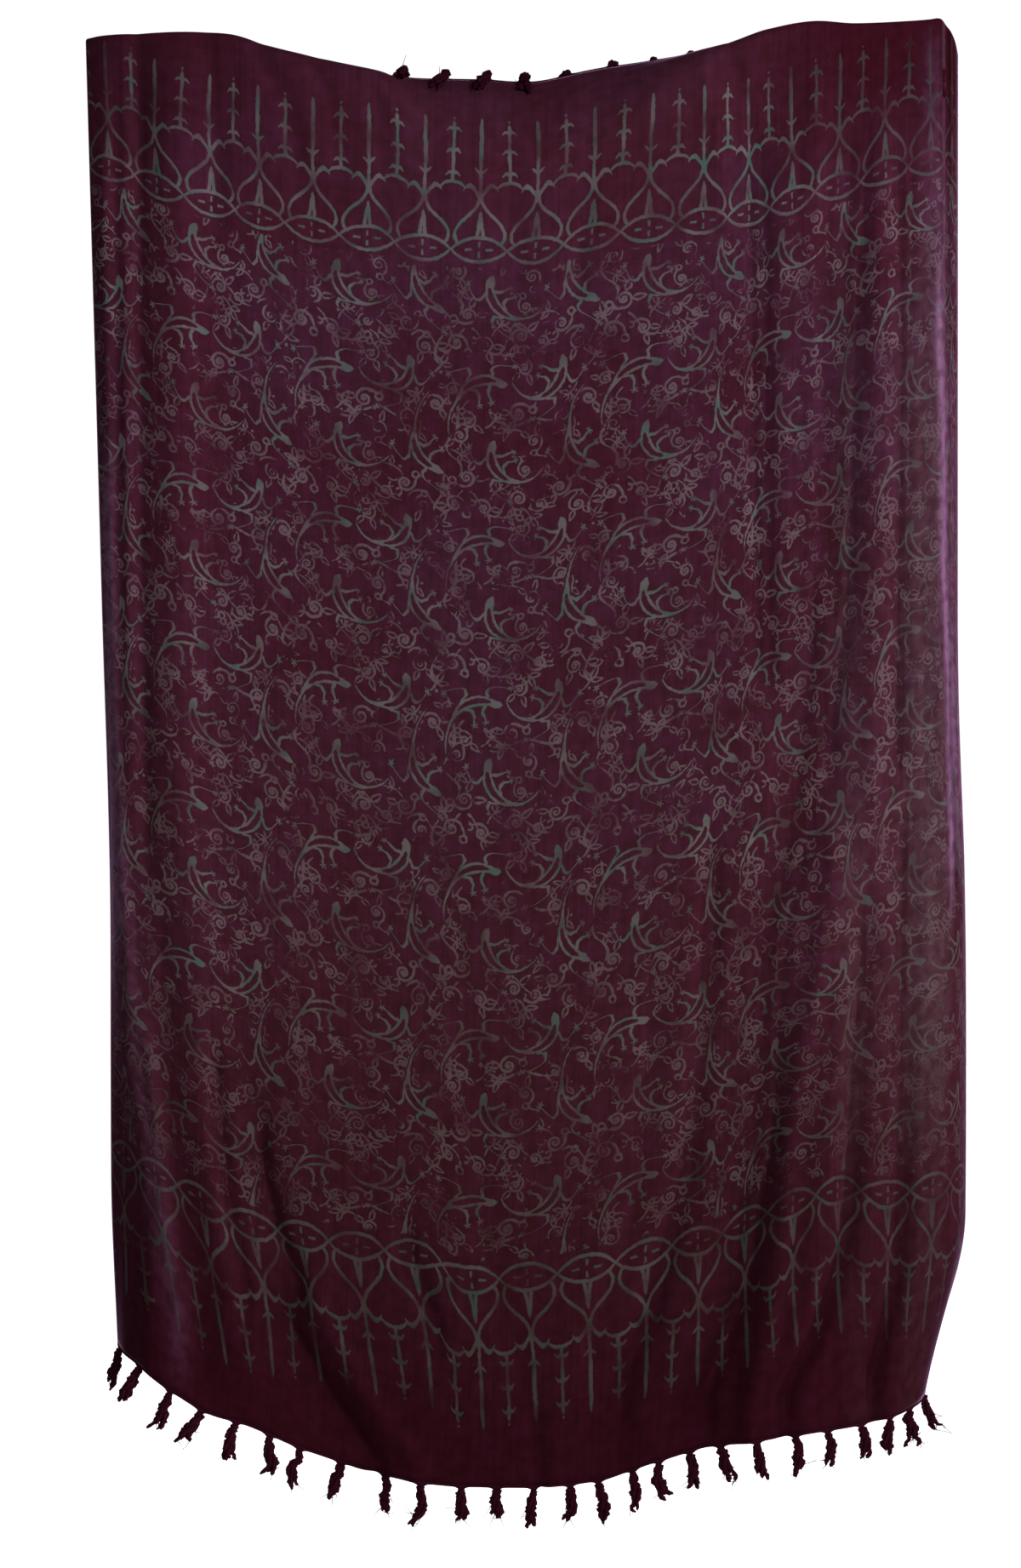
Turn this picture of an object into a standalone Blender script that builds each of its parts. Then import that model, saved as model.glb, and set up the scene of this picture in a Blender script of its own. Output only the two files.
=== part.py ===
"""Batik sarong, hung up by its two top corners.

One flat length of rayon, 1.15 m by 1.65 m, hangs as a single wall.  Its plain top band is
turned over to the back at both corners, where it is held, and leans back in the middle, where
it sags.  Both sides curl to the back.  A narrow heading of bound warp ends runs along the top
and the bottom edge, and the tassels are knotted out of it.

Units are metres and +Z is up.  The front faces -Y, and +X is to the right as one looks at it.
The origin lies on the hold line, half way between the two held corners.
"""

from collections import namedtuple
from math import cos, exp, pi, radians, sin

import bmesh
import bpy
from mathutils import Vector

# ---------------------------------------------------------------- driving dimensions

CLOTH_WIDTH = 1.15          # selvedge to selvedge, laid flat
CLOTH_LENGTH = 1.65         # top edge to bottom edge, laid flat, without the fringes
WALL = 0.0015               # thickness of the cloth wall
SEAM_GAP = 0.0003           # between the cloth and each heading

COLUMNS = 51                # faces across the cloth
FLAP_ROWS = 2               # faces along the turned-back top band
BEND_ROWS = 6               # faces round its bend
FRONT_ROWS = 34             # faces down the hanging front

HEADING_HEIGHT = 0.006      # the strip of bound warp ends
HEADING_WALL = 0.0018
TASSEL_ROOT = 0.006         # width of a tassel where it leaves the heading

# ---------------------------------------------------------------- shape tables

# The top edge, a row for each station across the flat cloth: the height of the highest line,
# the straight length behind it, the length of the bend and the angle it turns through.
TopStation = namedtuple("TopStation", "across height flap bend angle")
TOP_EDGE = (
    TopStation(0.000, -0.0060, 0.039, 0.0142, 180),
    TopStation(0.023, -0.0050, 0.036, 0.0142, 180),
    TopStation(0.096, -0.0055, 0.016, 0.0142, 180),
    TopStation(0.150, -0.0062, 0.005, 0.0160, 170),
    TopStation(0.182, -0.0080, 0.004, 0.0200, 140),
    TopStation(0.250, -0.0245, 0.006, 0.0280, 115),
    TopStation(0.348, -0.0450, 0.010, 0.0400, 100),
    TopStation(0.400, -0.0515, 0.016, 0.0800, 65),
    TopStation(0.476, -0.0520, 0.020, 0.1150, 52),
    TopStation(0.530, -0.0550, 0.020, 0.1200, 50),
    TopStation(0.612, -0.0395, 0.020, 0.1100, 52),
    TopStation(0.688, -0.0300, 0.012, 0.0600, 75),
    TopStation(0.770, -0.0165, 0.006, 0.0300, 110),
    TopStation(0.826, -0.0030, 0.004, 0.0200, 150),
    TopStation(0.900, 0.0058, 0.010, 0.0142, 180),
    TopStation(0.948, 0.0030, 0.021, 0.0142, 180),
    TopStation(1.020, 0.0050, 0.038, 0.0142, 180),
    TopStation(1.090, 0.0078, 0.043, 0.0142, 180),
    TopStation(1.150, -0.0213, 0.043, 0.0142, 180),
)

# The bottom edge: its height at each station.
HemStation = namedtuple("HemStation", "across height")
HEM = (
    HemStation(0.000, -1.515),
    HemStation(0.075, -1.533),
    HemStation(0.136, -1.559),
    HemStation(0.185, -1.581),
    HemStation(0.232, -1.593),
    HemStation(0.303, -1.623),
    HemStation(0.390, -1.652),
    HemStation(0.477, -1.665),
    HemStation(0.557, -1.6665),
    HemStation(0.640, -1.660),
    HemStation(0.710, -1.638),
    HemStation(0.776, -1.622),
    HemStation(0.854, -1.608),
    HemStation(0.944, -1.597),
    HemStation(1.040, -1.581),
    HemStation(1.100, -1.571),
    HemStation(1.150, -1.562),
)

# The plan, a row for each station across: where it lies to the right (x) and to the back (y)
# at five levels.  A level is a share of the way from the top line down to the hem.
LEVELS = (0.0, 0.42, 0.69, 0.87, 1.0)
PlanStation = namedtuple("PlanStation", "across x y")
PLAN = (
    PlanStation(0.000, (-0.5027, -0.4850, -0.4751, -0.4770, -0.4708), (0.050, 0.055, 0.062, 0.090, 0.105)),
    PlanStation(0.032, (-0.4790, -0.4680, -0.4655, -0.4600, -0.4610), (0.032, 0.030, 0.034, 0.062, 0.077)),
    PlanStation(0.060, (-0.4525, -0.4465, -0.4490, -0.4430, -0.4470), (0.018, 0.008, 0.010, 0.036, 0.054)),
    PlanStation(0.096, (-0.4210, -0.4145, -0.4160, -0.4180, -0.4280), (0.009, 0.002, -0.006, 0.008, 0.028)),
    PlanStation(0.160, (-0.3570, -0.3530, -0.3560, -0.3640, -0.3800), (0.003, 0.000, -0.012, -0.008, 0.006)),
    PlanStation(0.224, (-0.3017, -0.2980, -0.3000, -0.3080, -0.3250), (0.000, -0.002, -0.015, -0.011, 0.002)),
    PlanStation(0.352, (-0.1736, -0.1760, -0.1800, -0.1860, -0.1990), (0.000, -0.004, -0.018, -0.012, 0.006)),
    PlanStation(0.544, (0.0184, 0.0120, 0.0060, 0.0020, -0.0050), (0.000, -0.005, -0.020, -0.013, 0.010)),
    PlanStation(0.736, (0.2095, 0.2000, 0.1900, 0.1850, 0.1750), (0.000, -0.004, -0.018, -0.012, 0.006)),
    PlanStation(0.864, (0.3094, 0.3060, 0.3050, 0.3030, 0.3000), (0.000, -0.005, -0.015, -0.008, 0.004)),
    PlanStation(0.992, (0.4152, 0.4150, 0.4180, 0.4175, 0.4140), (-0.002, -0.006, -0.010, 0.002, 0.014)),
    PlanStation(1.056, (0.4666, 0.4650, 0.4720, 0.4700, 0.4500), (-0.006, -0.008, 0.002, 0.018, 0.040)),
    PlanStation(1.085, (0.4810, 0.4810, 0.4910, 0.4900, 0.4620), (0.006, 0.004, 0.020, 0.038, 0.064)),
    PlanStation(1.120, (0.4930, 0.4935, 0.5055, 0.5060, 0.4680), (0.034, 0.034, 0.050, 0.068, 0.096)),
    PlanStation(1.150, (0.5017, 0.5015, 0.5135, 0.5150, 0.4670), (0.060, 0.062, 0.078, 0.096, 0.124)),
)

# The largest folds: the line that each follows down the cloth, as points (x, z), and how far
# its middle lies behind (+) or in front of (-) the cloth round it, with its half width.
Fold = namedtuple("Fold", "name line depth half_width")
FOLDS = (
    Fold("pull from the right corner",
         ((0.376, -0.30), (0.356, -0.73), (0.318, -0.99), (0.284, -1.26), (0.250, -1.44), (0.205, -1.60)),
         0.018, 0.036),
    Fold("roll beside that pull",
         ((0.425, -0.30), (0.412, -0.73), (0.384, -0.99), (0.354, -1.26), (0.330, -1.44), (0.300, -1.58)),
         -0.012, 0.034),
    Fold("inner right trough", ((0.288, -0.16), (0.292, -0.42), (0.300, -0.66)), 0.010, 0.026),
    Fold("left trough", ((-0.437, -0.08), (-0.434, -0.80), (-0.412, -1.18), (-0.376, -1.46)), 0.012, 0.028),
    Fold("left roll", ((-0.390, -0.12), (-0.387, -0.80), (-0.360, -1.18), (-0.318, -1.48)), -0.008, 0.032),
    Fold("lower right swag", ((0.240, -1.16), (0.170, -1.40), (0.090, -1.60)), 0.011, 0.042),
    Fold("lower left swag", ((-0.320, -1.22), (-0.276, -1.44), (-0.200, -1.60)), 0.011, 0.036),
)
FOLD_FADE = 0.16            # height over which a fold fades out past each end of its line

# The tassels of the bottom edge: place across, lean to the right in degrees, and length.
Tassel = namedtuple("Tassel", "across lean length")
BOTTOM_TASSELS = (
    Tassel(0.006, -20, 0.052), Tassel(0.070, -30, 0.046), Tassel(0.130, -21, 0.045),
    Tassel(0.176, -36, 0.042), Tassel(0.222, -12, 0.045), Tassel(0.262, 5, 0.044),
    Tassel(0.297, -5, 0.048), Tassel(0.343, -21, 0.042), Tassel(0.393, -2, 0.049),
    Tassel(0.434, -15, 0.050), Tassel(0.479, -5, 0.043), Tassel(0.519, -4, 0.039),
    Tassel(0.563, 0, 0.048), Tassel(0.607, -11, 0.041), Tassel(0.642, 6, 0.046),
    Tassel(0.685, 7, 0.047), Tassel(0.717, 20, 0.044), Tassel(0.754, 9, 0.043),
    Tassel(0.789, 24, 0.042), Tassel(0.830, 12, 0.046), Tassel(0.876, 5, 0.044),
    Tassel(0.915, 1, 0.042), Tassel(0.958, 8, 0.038), Tassel(1.003, -2, 0.045),
    Tassel(1.048, 5, 0.042), Tassel(1.110, 31, 0.043),
)

# The tassels of the top edge.  Those in front fall forward over the edge, the others behind.
TopTassel = namedtuple("TopTassel", "across lean length in_front")
TOP_TASSELS = (
    TopTassel(0.020, 3, 0.046, False), TopTassel(0.064, -4, 0.044, False),
    TopTassel(0.110, 6, 0.048, False), TopTassel(0.155, 2, 0.045, False),
    TopTassel(0.202, -6, 0.043, False), TopTassel(0.250, 4, 0.046, False),
    TopTassel(0.296, -3, 0.044, False), TopTassel(0.342, 7, 0.047, False),
    TopTassel(0.390, -8, 0.036, True), TopTassel(0.434, -24, 0.036, True),
    TopTassel(0.484, -18, 0.036, True), TopTassel(0.527, 2, 0.040, True),
    TopTassel(0.578, -20, 0.044, False), TopTassel(0.626, 16, 0.045, False),
    TopTassel(0.674, 6, 0.046, False), TopTassel(0.720, -5, 0.044, False),
    TopTassel(0.766, 4, 0.046, False), TopTassel(0.811, -2, 0.043, False),
    TopTassel(0.857, 5, 0.047, False), TopTassel(0.902, -6, 0.045, False),
    TopTassel(0.948, 3, 0.044, False), TopTassel(0.992, 5, 0.046, False),
    TopTassel(1.037, -3, 0.044, False), TopTassel(1.082, 4, 0.045, False),
    TopTassel(1.126, -4, 0.043, False),
)

# A tassel's sections: share of its length, width, depth and twist in degrees.
Section = namedtuple("Section", "share width depth twist")
TASSEL_SECTIONS = (
    Section(0.08, 0.0050, 0.0040, 10),
    Section(0.30, 0.0088, 0.0068, 35),
    Section(0.62, 0.0098, 0.0076, 60),
)
TIP_SPREAD = 0.0035         # how far each of a tassel's two tips stands off its middle line
TIP_SIZE = 0.35             # size of a tip's end against its start

# ---------------------------------------------------------------- reading the tables


def smooth_between(keys, values, at):
    """Cubic interpolation that keeps to the tables' rows and runs on straight past the ends."""
    last = len(keys) - 1
    slopes = [(values[i + 1] - values[i]) / (keys[i + 1] - keys[i]) for i in range(last)]
    if at <= keys[0]:
        return values[0] + slopes[0] * (at - keys[0])
    if at >= keys[last]:
        return values[last] + slopes[last - 1] * (at - keys[last])
    i = max(j for j in range(last) if keys[j] <= at)

    def tangent(k):
        before, after = slopes[max(k - 1, 0)], slopes[min(k, last - 1)]
        if before * after <= 0.0:
            return 0.0
        return 2.0 * before * after / (before + after)

    span = keys[i + 1] - keys[i]
    t = (at - keys[i]) / span
    start_shape = 2 * t**3 - 3 * t**2 + 1
    start_slope = t**3 - 2 * t**2 + t
    end_slope = t**3 - t**2
    return (start_shape * values[i] + (1 - start_shape) * values[i + 1]
            + span * (start_slope * tangent(i) + end_slope * tangent(i + 1)))


def column_of(table, name):
    """The keys and the values of one named column of a table of stations."""
    return [row.across for row in table], [getattr(row, name) for row in table]


def top_edge(name, across):
    keys, values = column_of(TOP_EDGE, name)
    return smooth_between(keys, values, across)


def hem_height(across):
    keys, values = column_of(HEM, "height")
    return smooth_between(keys, values, across)


def plan_point(across, level):
    """Where the cloth lies, seen from above, at a station and a level."""
    keys = [row.across for row in PLAN]
    place = []
    for name in ("x", "y"):
        at_levels = [smooth_between(keys, [getattr(row, name)[i] for row in PLAN], across)
                     for i in range(len(LEVELS))]
        place.append(smooth_between(LEVELS, at_levels, level))
    return Vector((place[0], place[1], 0.0))


def fold_offset(x, z):
    """How far the folds push the cloth to the back at a place in the front view."""
    total = 0.0
    for fold in FOLDS:
        top_z, bottom_z = fold.line[0][1], fold.line[-1][1]
        past_end = max(z - top_z, bottom_z - z, 0.0)
        if past_end >= FOLD_FADE:
            continue
        heights = [-point[1] for point in fold.line]
        line_x = smooth_between(heights, [point[0] for point in fold.line], min(max(-z, -top_z), -bottom_z))
        fade = 0.5 + 0.5 * cos(pi * past_end / FOLD_FADE)
        total += fold.depth * fade * exp(-((x - line_x) / fold.half_width) ** 2)
    return total


# ---------------------------------------------------------------- the cloth's middle surface


def roll_profile(across, down):
    """Seen from the side: how far behind the front, and how high, a point of the cloth lies.

    down is the distance from the top edge along the flat cloth.  From the edge the cloth runs
    straight along the turned-back flap, round the bend, and then down the front.
    """
    flap, bend = top_edge("flap", across), top_edge("bend", across)
    angle = radians(top_edge("angle", across))
    radius = bend / angle
    highest = radius * sin(min(angle, pi / 2)) + max(0.0, flap * cos(angle))
    bend_end = flap + bend
    bend_end_height = top_edge("height", across) - highest
    if down >= bend_end:
        share = (down - bend_end) / (CLOTH_LENGTH - bend_end)
        return 0.0, bend_end_height + share * (hem_height(across) - bend_end_height)
    turned = min((bend_end - down) / bend, 1.0) * angle
    straight = max(flap - down, 0.0)
    behind = radius * (1.0 - cos(turned)) + straight * sin(angle)
    above = radius * sin(turned) + straight * cos(angle)
    return behind, bend_end_height + above


def cloth_point(across, down):
    """A point of the cloth's middle surface, from its place on the flat cloth."""
    behind, height = roll_profile(across, down)
    top = top_edge("height", across)
    level = (top - height) / (top - hem_height(across))
    step = 0.002
    place = plan_point(across, level)
    along = plan_point(across + step, level) - plan_point(across - step, level)
    to_back = Vector((-along.y, along.x, 0.0)).normalized()
    place += to_back * behind
    place.y += fold_offset(place.x, height)
    place.z = height
    return place


def row_down(row, across):
    """The flat distance from the top edge of a row of the mesh, which follows the bend."""
    flap, bend = top_edge("flap", across), top_edge("bend", across)
    if row <= FLAP_ROWS:
        return flap * row / FLAP_ROWS
    if row <= FLAP_ROWS + BEND_ROWS:
        return flap + bend * (row - FLAP_ROWS) / BEND_ROWS
    return flap + bend + (CLOTH_LENGTH - flap - bend) * (row - FLAP_ROWS - BEND_ROWS) / FRONT_ROWS


# ---------------------------------------------------------------- materials and objects


def clear_scene():
    for old in list(bpy.data.objects):
        bpy.data.objects.remove(old, do_unlink=True)


def cloth_material(name, color, roughness):
    material = bpy.data.materials.new(name)
    material.use_nodes = True
    shader = material.node_tree.nodes["Principled BSDF"]
    shader.inputs["Base Color"].default_value = (*color, 1.0)
    shader.inputs["Roughness"].default_value = roughness
    shader.inputs["Metallic"].default_value = 0.0
    return material


def add_object(name, bm, material, collection):
    mesh = bpy.data.meshes.new(name)
    bm.to_mesh(mesh)
    bm.free()
    mesh.materials.append(material)
    mesh.shade_smooth()
    piece = bpy.data.objects.new(name, mesh)
    collection.objects.link(piece)
    return piece


# ---------------------------------------------------------------- the length of cloth


def make_cloth_panel(material, collection):
    """The whole cloth as one sheet, given its wall by Solidify."""
    rows = FLAP_ROWS + BEND_ROWS + FRONT_ROWS
    bm = bmesh.new()
    bmesh.ops.create_grid(bm, x_segments=COLUMNS, y_segments=rows, size=0.5)
    for vert in bm.verts:
        column = round((vert.co.x + 0.5) * COLUMNS)
        row = round((0.5 - vert.co.y) * rows)
        across = CLOTH_WIDTH * column / COLUMNS
        vert.co = cloth_point(across, row_down(row, across))
    piece = add_object("cloth_panel", bm, material, collection)
    wall = piece.modifiers.new("wall", "SOLIDIFY")
    wall.thickness = WALL
    wall.offset = 0.0
    wall.use_quality_normals = True
    return piece


# ---------------------------------------------------------------- headings and tassels


def heading_stops(tassels):
    """Where the heading is divided: at the cloth's columns and at both sides of each tassel."""
    stops = [CLOTH_WIDTH * column / COLUMNS for column in range(COLUMNS + 1)]
    for tassel in tassels:
        stops += [tassel.across - TASSEL_ROOT / 2, tassel.across + TASSEL_ROOT / 2]
    return sorted(stops)


def point_on_columns(across, down):
    """A point on the straight line between the cloth's two nearest columns, so that the
    heading keeps the same gap to the cloth's edge all along it."""
    column = min(int(across / CLOTH_WIDTH * COLUMNS), COLUMNS - 1)
    left, right = CLOTH_WIDTH * column / COLUMNS, CLOTH_WIDTH * (column + 1) / COLUMNS
    return cloth_point(left, down).lerp(cloth_point(right, down), (across - left) / (right - left))


def edge_frame(across, down, outward_sign):
    """The directions at an edge: along it to the right, out of the cloth, and to the front."""
    step = 0.001
    along = (cloth_point(across + step, down) - cloth_point(across - step, down)).normalized()
    inner, outer = cloth_point(across, down), cloth_point(across, down + outward_sign * step)
    outward = (outer - inner).normalized()
    front = along.cross(outward) * outward_sign
    return along, outward, -front.normalized()


def make_heading(tassels, near_edge, outward_sign):
    """A bar that follows the cloth's edge, with a face of its own under each tassel.

    It starts as a long box whose length is divided at the stops, and each of its cross
    sections is then moved to its place.
    """
    stops = heading_stops(tassels)
    far_edge = near_edge + outward_sign * HEADING_HEIGHT
    bm = bmesh.new()
    bmesh.ops.create_cube(bm, size=1.0)
    long_edges = [e for e in bm.edges if abs(e.verts[0].co.x - e.verts[1].co.x) > 0.5]
    bmesh.ops.subdivide_edges(bm, edges=long_edges, cuts=len(stops) - 2, use_grid_fill=True)
    root_faces = {}
    for face in bm.faces:
        centre = face.calc_center_median()
        stop = int((centre.x + 0.5) * (len(stops) - 1))
        if centre.z < -0.49 and len(face.verts) == 4:
            root_faces[stop] = face
    for vert in bm.verts:
        across = stops[round((vert.co.x + 0.5) * (len(stops) - 1))]
        down = far_edge if vert.co.z < 0 else near_edge
        side = -outward_sign * (HEADING_WALL / 2 if vert.co.y > 0 else -HEADING_WALL / 2)
        front = edge_frame(across, near_edge, outward_sign)[2]
        vert.co = point_on_columns(across, down) + front * side
    roots = [root_faces[stops.index(tassel.across - TASSEL_ROOT / 2)] for tassel in tassels]
    return bm, roots


def grow_tassel(bm, root, path, right):
    """Draw a tassel out of its root face along a path, and split its end into two tips."""
    centre = root.calc_center_median()
    away = path(0.05) - path(0.0)
    corners = []
    for vert in root.verts:
        offset = vert.co - centre
        corners.append((1.0 if offset.dot(right) > 0 else -1.0,
                        1.0 if offset.dot(away.cross(right)) > 0 else -1.0))
    face = root
    for section in TASSEL_SECTIONS:
        face = bmesh.ops.extrude_discrete_faces(bm, faces=[face])["faces"][0]
        middle = path(section.share)
        onward = (path(section.share + 0.02) - path(section.share - 0.02)).normalized()
        wide = (right - onward * right.dot(onward)).normalized()
        deep = onward.cross(wide)
        turn = radians(section.twist)
        for vert, (side, depth) in zip(face.verts, corners):
            a, b = side * section.width / 2, depth * section.depth / 2
            vert.co = middle + wide * (a * cos(turn) - b * sin(turn)) + deep * (a * sin(turn) + b * cos(turn))
    split_tips(bm, face, path)


def split_tips(bm, face, path):
    """Cut a tassel's end face corner to corner and draw out each half as a loose tip."""
    verts = list(face.verts)
    other, _ = bmesh.utils.face_split(face, verts[0], verts[2])
    halves = [face, other]
    middle = face.calc_center_median().lerp(other.calc_center_median(), 0.5)
    for half, reach in zip(halves, (1.0, 0.9)):
        away = (half.calc_center_median() - middle).normalized() * TIP_SPREAD
        tip = bmesh.ops.extrude_discrete_faces(bm, faces=[half])["faces"][0]
        centre = tip.calc_center_median()
        for vert in tip.verts:
            vert.co = path(reach) + away + (vert.co - centre) * TIP_SIZE


def hanging_path(root, outward, tassel, right):
    """A path that leaves the heading straight out and turns down under its own weight."""
    lean = radians(tassel.lean)
    hang = (Vector((0, 0, -1)) * cos(lean) + Vector((1, 0, 0)) * sin(lean)).normalized()
    pieces = 24

    def path(share):
        place = root.copy()
        for i in range(pieces):
            t = (i + 0.5) / pieces
            if t > share:
                break
            ease = min(t * 2.2, 1.0)
            heading = (outward * (1.0 - ease) + hang * ease).normalized()
            place += heading * tassel.length / pieces
        return place

    return path


def forward_path(tassel, near_edge):
    """A path that stands up out of the heading, turns over and lies down in front of the cloth."""
    clear = 0.0075
    over = 0.016
    lean = sin(radians(tassel.lean))
    far_edge = near_edge - HEADING_HEIGHT

    def path(share):
        run = share * tassel.length
        front = edge_frame(tassel.across, 0.0, -1.0)[2]
        if run < over:
            turn = pi * run / over
            rise = sin(turn) * over / pi
            place = cloth_point(tassel.across, far_edge - rise)
            return place + front * clear * (1.0 - cos(turn)) / 2
        down = far_edge + run - over
        return cloth_point(tassel.across + lean * (run - over), down) + front * clear

    return path


def make_bottom_fringe(material, collection):
    near_edge = CLOTH_LENGTH + SEAM_GAP
    bm, roots = make_heading(BOTTOM_TASSELS, near_edge, 1.0)
    for tassel, root in zip(BOTTOM_TASSELS, roots):
        along, outward, _ = edge_frame(tassel.across, near_edge, 1.0)
        path = hanging_path(root.calc_center_median(), outward, tassel, along)
        grow_tassel(bm, root, path, along)
    return add_object("bottom_fringe", bm, material, collection)


def make_top_fringe(material, collection):
    near_edge = -SEAM_GAP
    bm, roots = make_heading(TOP_TASSELS, near_edge, -1.0)
    for tassel, root in zip(TOP_TASSELS, roots):
        along, outward, _ = edge_frame(tassel.across, near_edge, -1.0)
        if tassel.in_front:
            path = forward_path(tassel, near_edge)
        else:
            path = hanging_path(root.calc_center_median(), outward, tassel, along)
        grow_tassel(bm, root, path, along)
    return add_object("top_fringe", bm, material, collection)


def main():
    clear_scene()
    collection = bpy.data.collections.new("batik_sarong")
    bpy.context.scene.collection.children.link(collection)
    plum_cloth = cloth_material("plum_rayon", (0.045, 0.011, 0.022), 0.62)
    plum_thread = cloth_material("plum_thread", (0.022, 0.005, 0.011), 0.75)
    make_cloth_panel(plum_cloth, collection)
    make_bottom_fringe(plum_thread, collection)
    make_top_fringe(plum_thread, collection)


main()
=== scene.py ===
"""Batik sarong, hung up by its two top corners.

The cloth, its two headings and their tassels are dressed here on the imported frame, in the order
in which the piece is made: woven, stamped and dyed, then fringed.  Lengths are in metres and the
stamped pattern is drawn in millimetres of flat cloth.
"""

import math
from collections import namedtuple

import bmesh
import bpy
import numpy as np
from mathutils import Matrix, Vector


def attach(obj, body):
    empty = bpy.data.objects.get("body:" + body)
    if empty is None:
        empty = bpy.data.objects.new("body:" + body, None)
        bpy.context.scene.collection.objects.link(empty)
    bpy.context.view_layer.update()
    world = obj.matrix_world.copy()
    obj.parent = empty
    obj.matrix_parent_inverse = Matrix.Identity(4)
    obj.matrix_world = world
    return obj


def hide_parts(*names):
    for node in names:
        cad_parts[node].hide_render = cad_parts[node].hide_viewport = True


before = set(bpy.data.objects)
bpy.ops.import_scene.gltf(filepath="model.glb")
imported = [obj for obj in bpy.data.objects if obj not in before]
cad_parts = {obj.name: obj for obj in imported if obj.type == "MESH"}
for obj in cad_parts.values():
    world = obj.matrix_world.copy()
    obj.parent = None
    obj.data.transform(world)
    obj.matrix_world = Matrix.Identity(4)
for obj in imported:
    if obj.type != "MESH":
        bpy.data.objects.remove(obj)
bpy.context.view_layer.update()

# ======================================================================== camera and studio
# A level camera straight in front of the cloth, which hangs over a round pale floor in a plain
# white surround, open on every side.  A large soft light stands to the right in front, a tall one
# at the right side and one behind, and two narrow ones graze the standing folds at the sides.

VIEW_HEIGHT = 1.787         # what the camera takes in at the cloth, top to bottom
VIEW_CENTRE = (-0.0136, -0.8643)
CAMERA_DISTANCE = 5.0
SENSOR_HEIGHT = 0.036

camera_data = bpy.data.cameras.new("camera")
camera_data.sensor_fit = "VERTICAL"
camera_data.sensor_height = SENSOR_HEIGHT * 1000
camera_data.lens = camera_data.sensor_height * CAMERA_DISTANCE / VIEW_HEIGHT
camera = bpy.data.objects.new("camera", camera_data)
camera.location = (VIEW_CENTRE[0], -CAMERA_DISTANCE, VIEW_CENTRE[1])
camera.rotation_euler = (math.radians(90), 0, 0)
bpy.context.scene.collection.objects.link(camera)
bpy.context.scene.camera = camera
bpy.context.scene.view_settings.view_transform = "Standard"

FLOOR_HEIGHT = -1.95
FLOOR_RADIUS = 12.0
FLOOR_GREY = 0.92
PALE_RADIUS = 0.30          # the floor is pale out to here and fades to white at WHITE_RADIUS
WHITE_RADIUS = 1.05
PALENESS = 0.10
SURROUND_WHITE = 1.05       # how bright the surround looks
SURROUND_LIGHT = 0.14       # what it sheds on the cloth


def add_piece(name, bm):
    """An object in the scene that has the shape of the finished bmesh."""
    mesh = bpy.data.meshes.new(name)
    bm.to_mesh(mesh)
    bm.free()
    piece = bpy.data.objects.new(name, mesh)
    bpy.context.scene.collection.objects.link(piece)
    return piece


def make_floor():
    """A round floor that looks pale under the cloth and white where it meets the surround."""
    bm = bmesh.new()
    bmesh.ops.create_circle(bm, cap_ends=True, segments=96, radius=FLOOR_RADIUS)
    bmesh.ops.translate(bm, verts=bm.verts, vec=(0, 0, FLOOR_HEIGHT))
    floor = add_piece("pale_floor", bm)
    paint = bpy.data.materials.new("pale_floor_paint")
    paint.use_nodes = True
    nodes, links = paint.node_tree.nodes, paint.node_tree.links
    shader = nodes["Principled BSDF"]
    shader.inputs["Base Color"].default_value = (FLOOR_GREY, FLOOR_GREY, FLOOR_GREY, 1)
    shader.inputs["Roughness"].default_value = 0.9
    shader.inputs["Emission Color"].default_value = (1, 1, 1, 1)
    spot = nodes.new("ShaderNodeVectorMath")
    spot.operation = "MULTIPLY"
    spot.inputs[1].default_value = (1, 1, 0)
    links.new(nodes.new("ShaderNodeTexCoord").outputs["Object"], spot.inputs[0])
    away = nodes.new("ShaderNodeVectorMath")
    away.operation = "LENGTH"
    links.new(spot.outputs["Vector"], away.inputs[0])
    whiteness = nodes.new("ShaderNodeMapRange")
    whiteness.interpolation_type = "SMOOTHSTEP"
    whiteness.inputs["From Min"].default_value = PALE_RADIUS
    whiteness.inputs["From Max"].default_value = WHITE_RADIUS
    whiteness.inputs["To Min"].default_value = PALENESS
    whiteness.inputs["To Max"].default_value = SURROUND_WHITE
    links.new(away.outputs["Value"], whiteness.inputs["Value"])
    seen = nodes.new("ShaderNodeMath")
    seen.operation = "MULTIPLY"
    links.new(nodes.new("ShaderNodeLightPath").outputs["Is Camera Ray"], seen.inputs[0])
    links.new(whiteness.outputs["Result"], seen.inputs[1])
    links.new(seen.outputs["Value"], shader.inputs["Emission Strength"])
    floor.data.materials.append(paint)


def make_surround():
    """White to look at from every side, while it sheds only a little light."""
    world = bpy.data.worlds.new("white_surround")
    bpy.context.scene.world = world
    world.use_nodes = True
    nodes, links = world.node_tree.nodes, world.node_tree.links
    surround = nodes["Background"]
    surround.inputs["Color"].default_value = (1.0, 1.0, 1.0, 1)
    strength = nodes.new("ShaderNodeMath")
    strength.operation = "MULTIPLY_ADD"
    strength.inputs[1].default_value = SURROUND_WHITE - SURROUND_LIGHT
    strength.inputs[2].default_value = SURROUND_LIGHT
    links.new(nodes.new("ShaderNodeLightPath").outputs["Is Camera Ray"], strength.inputs[0])
    links.new(strength.outputs["Value"], surround.inputs["Strength"])


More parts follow.
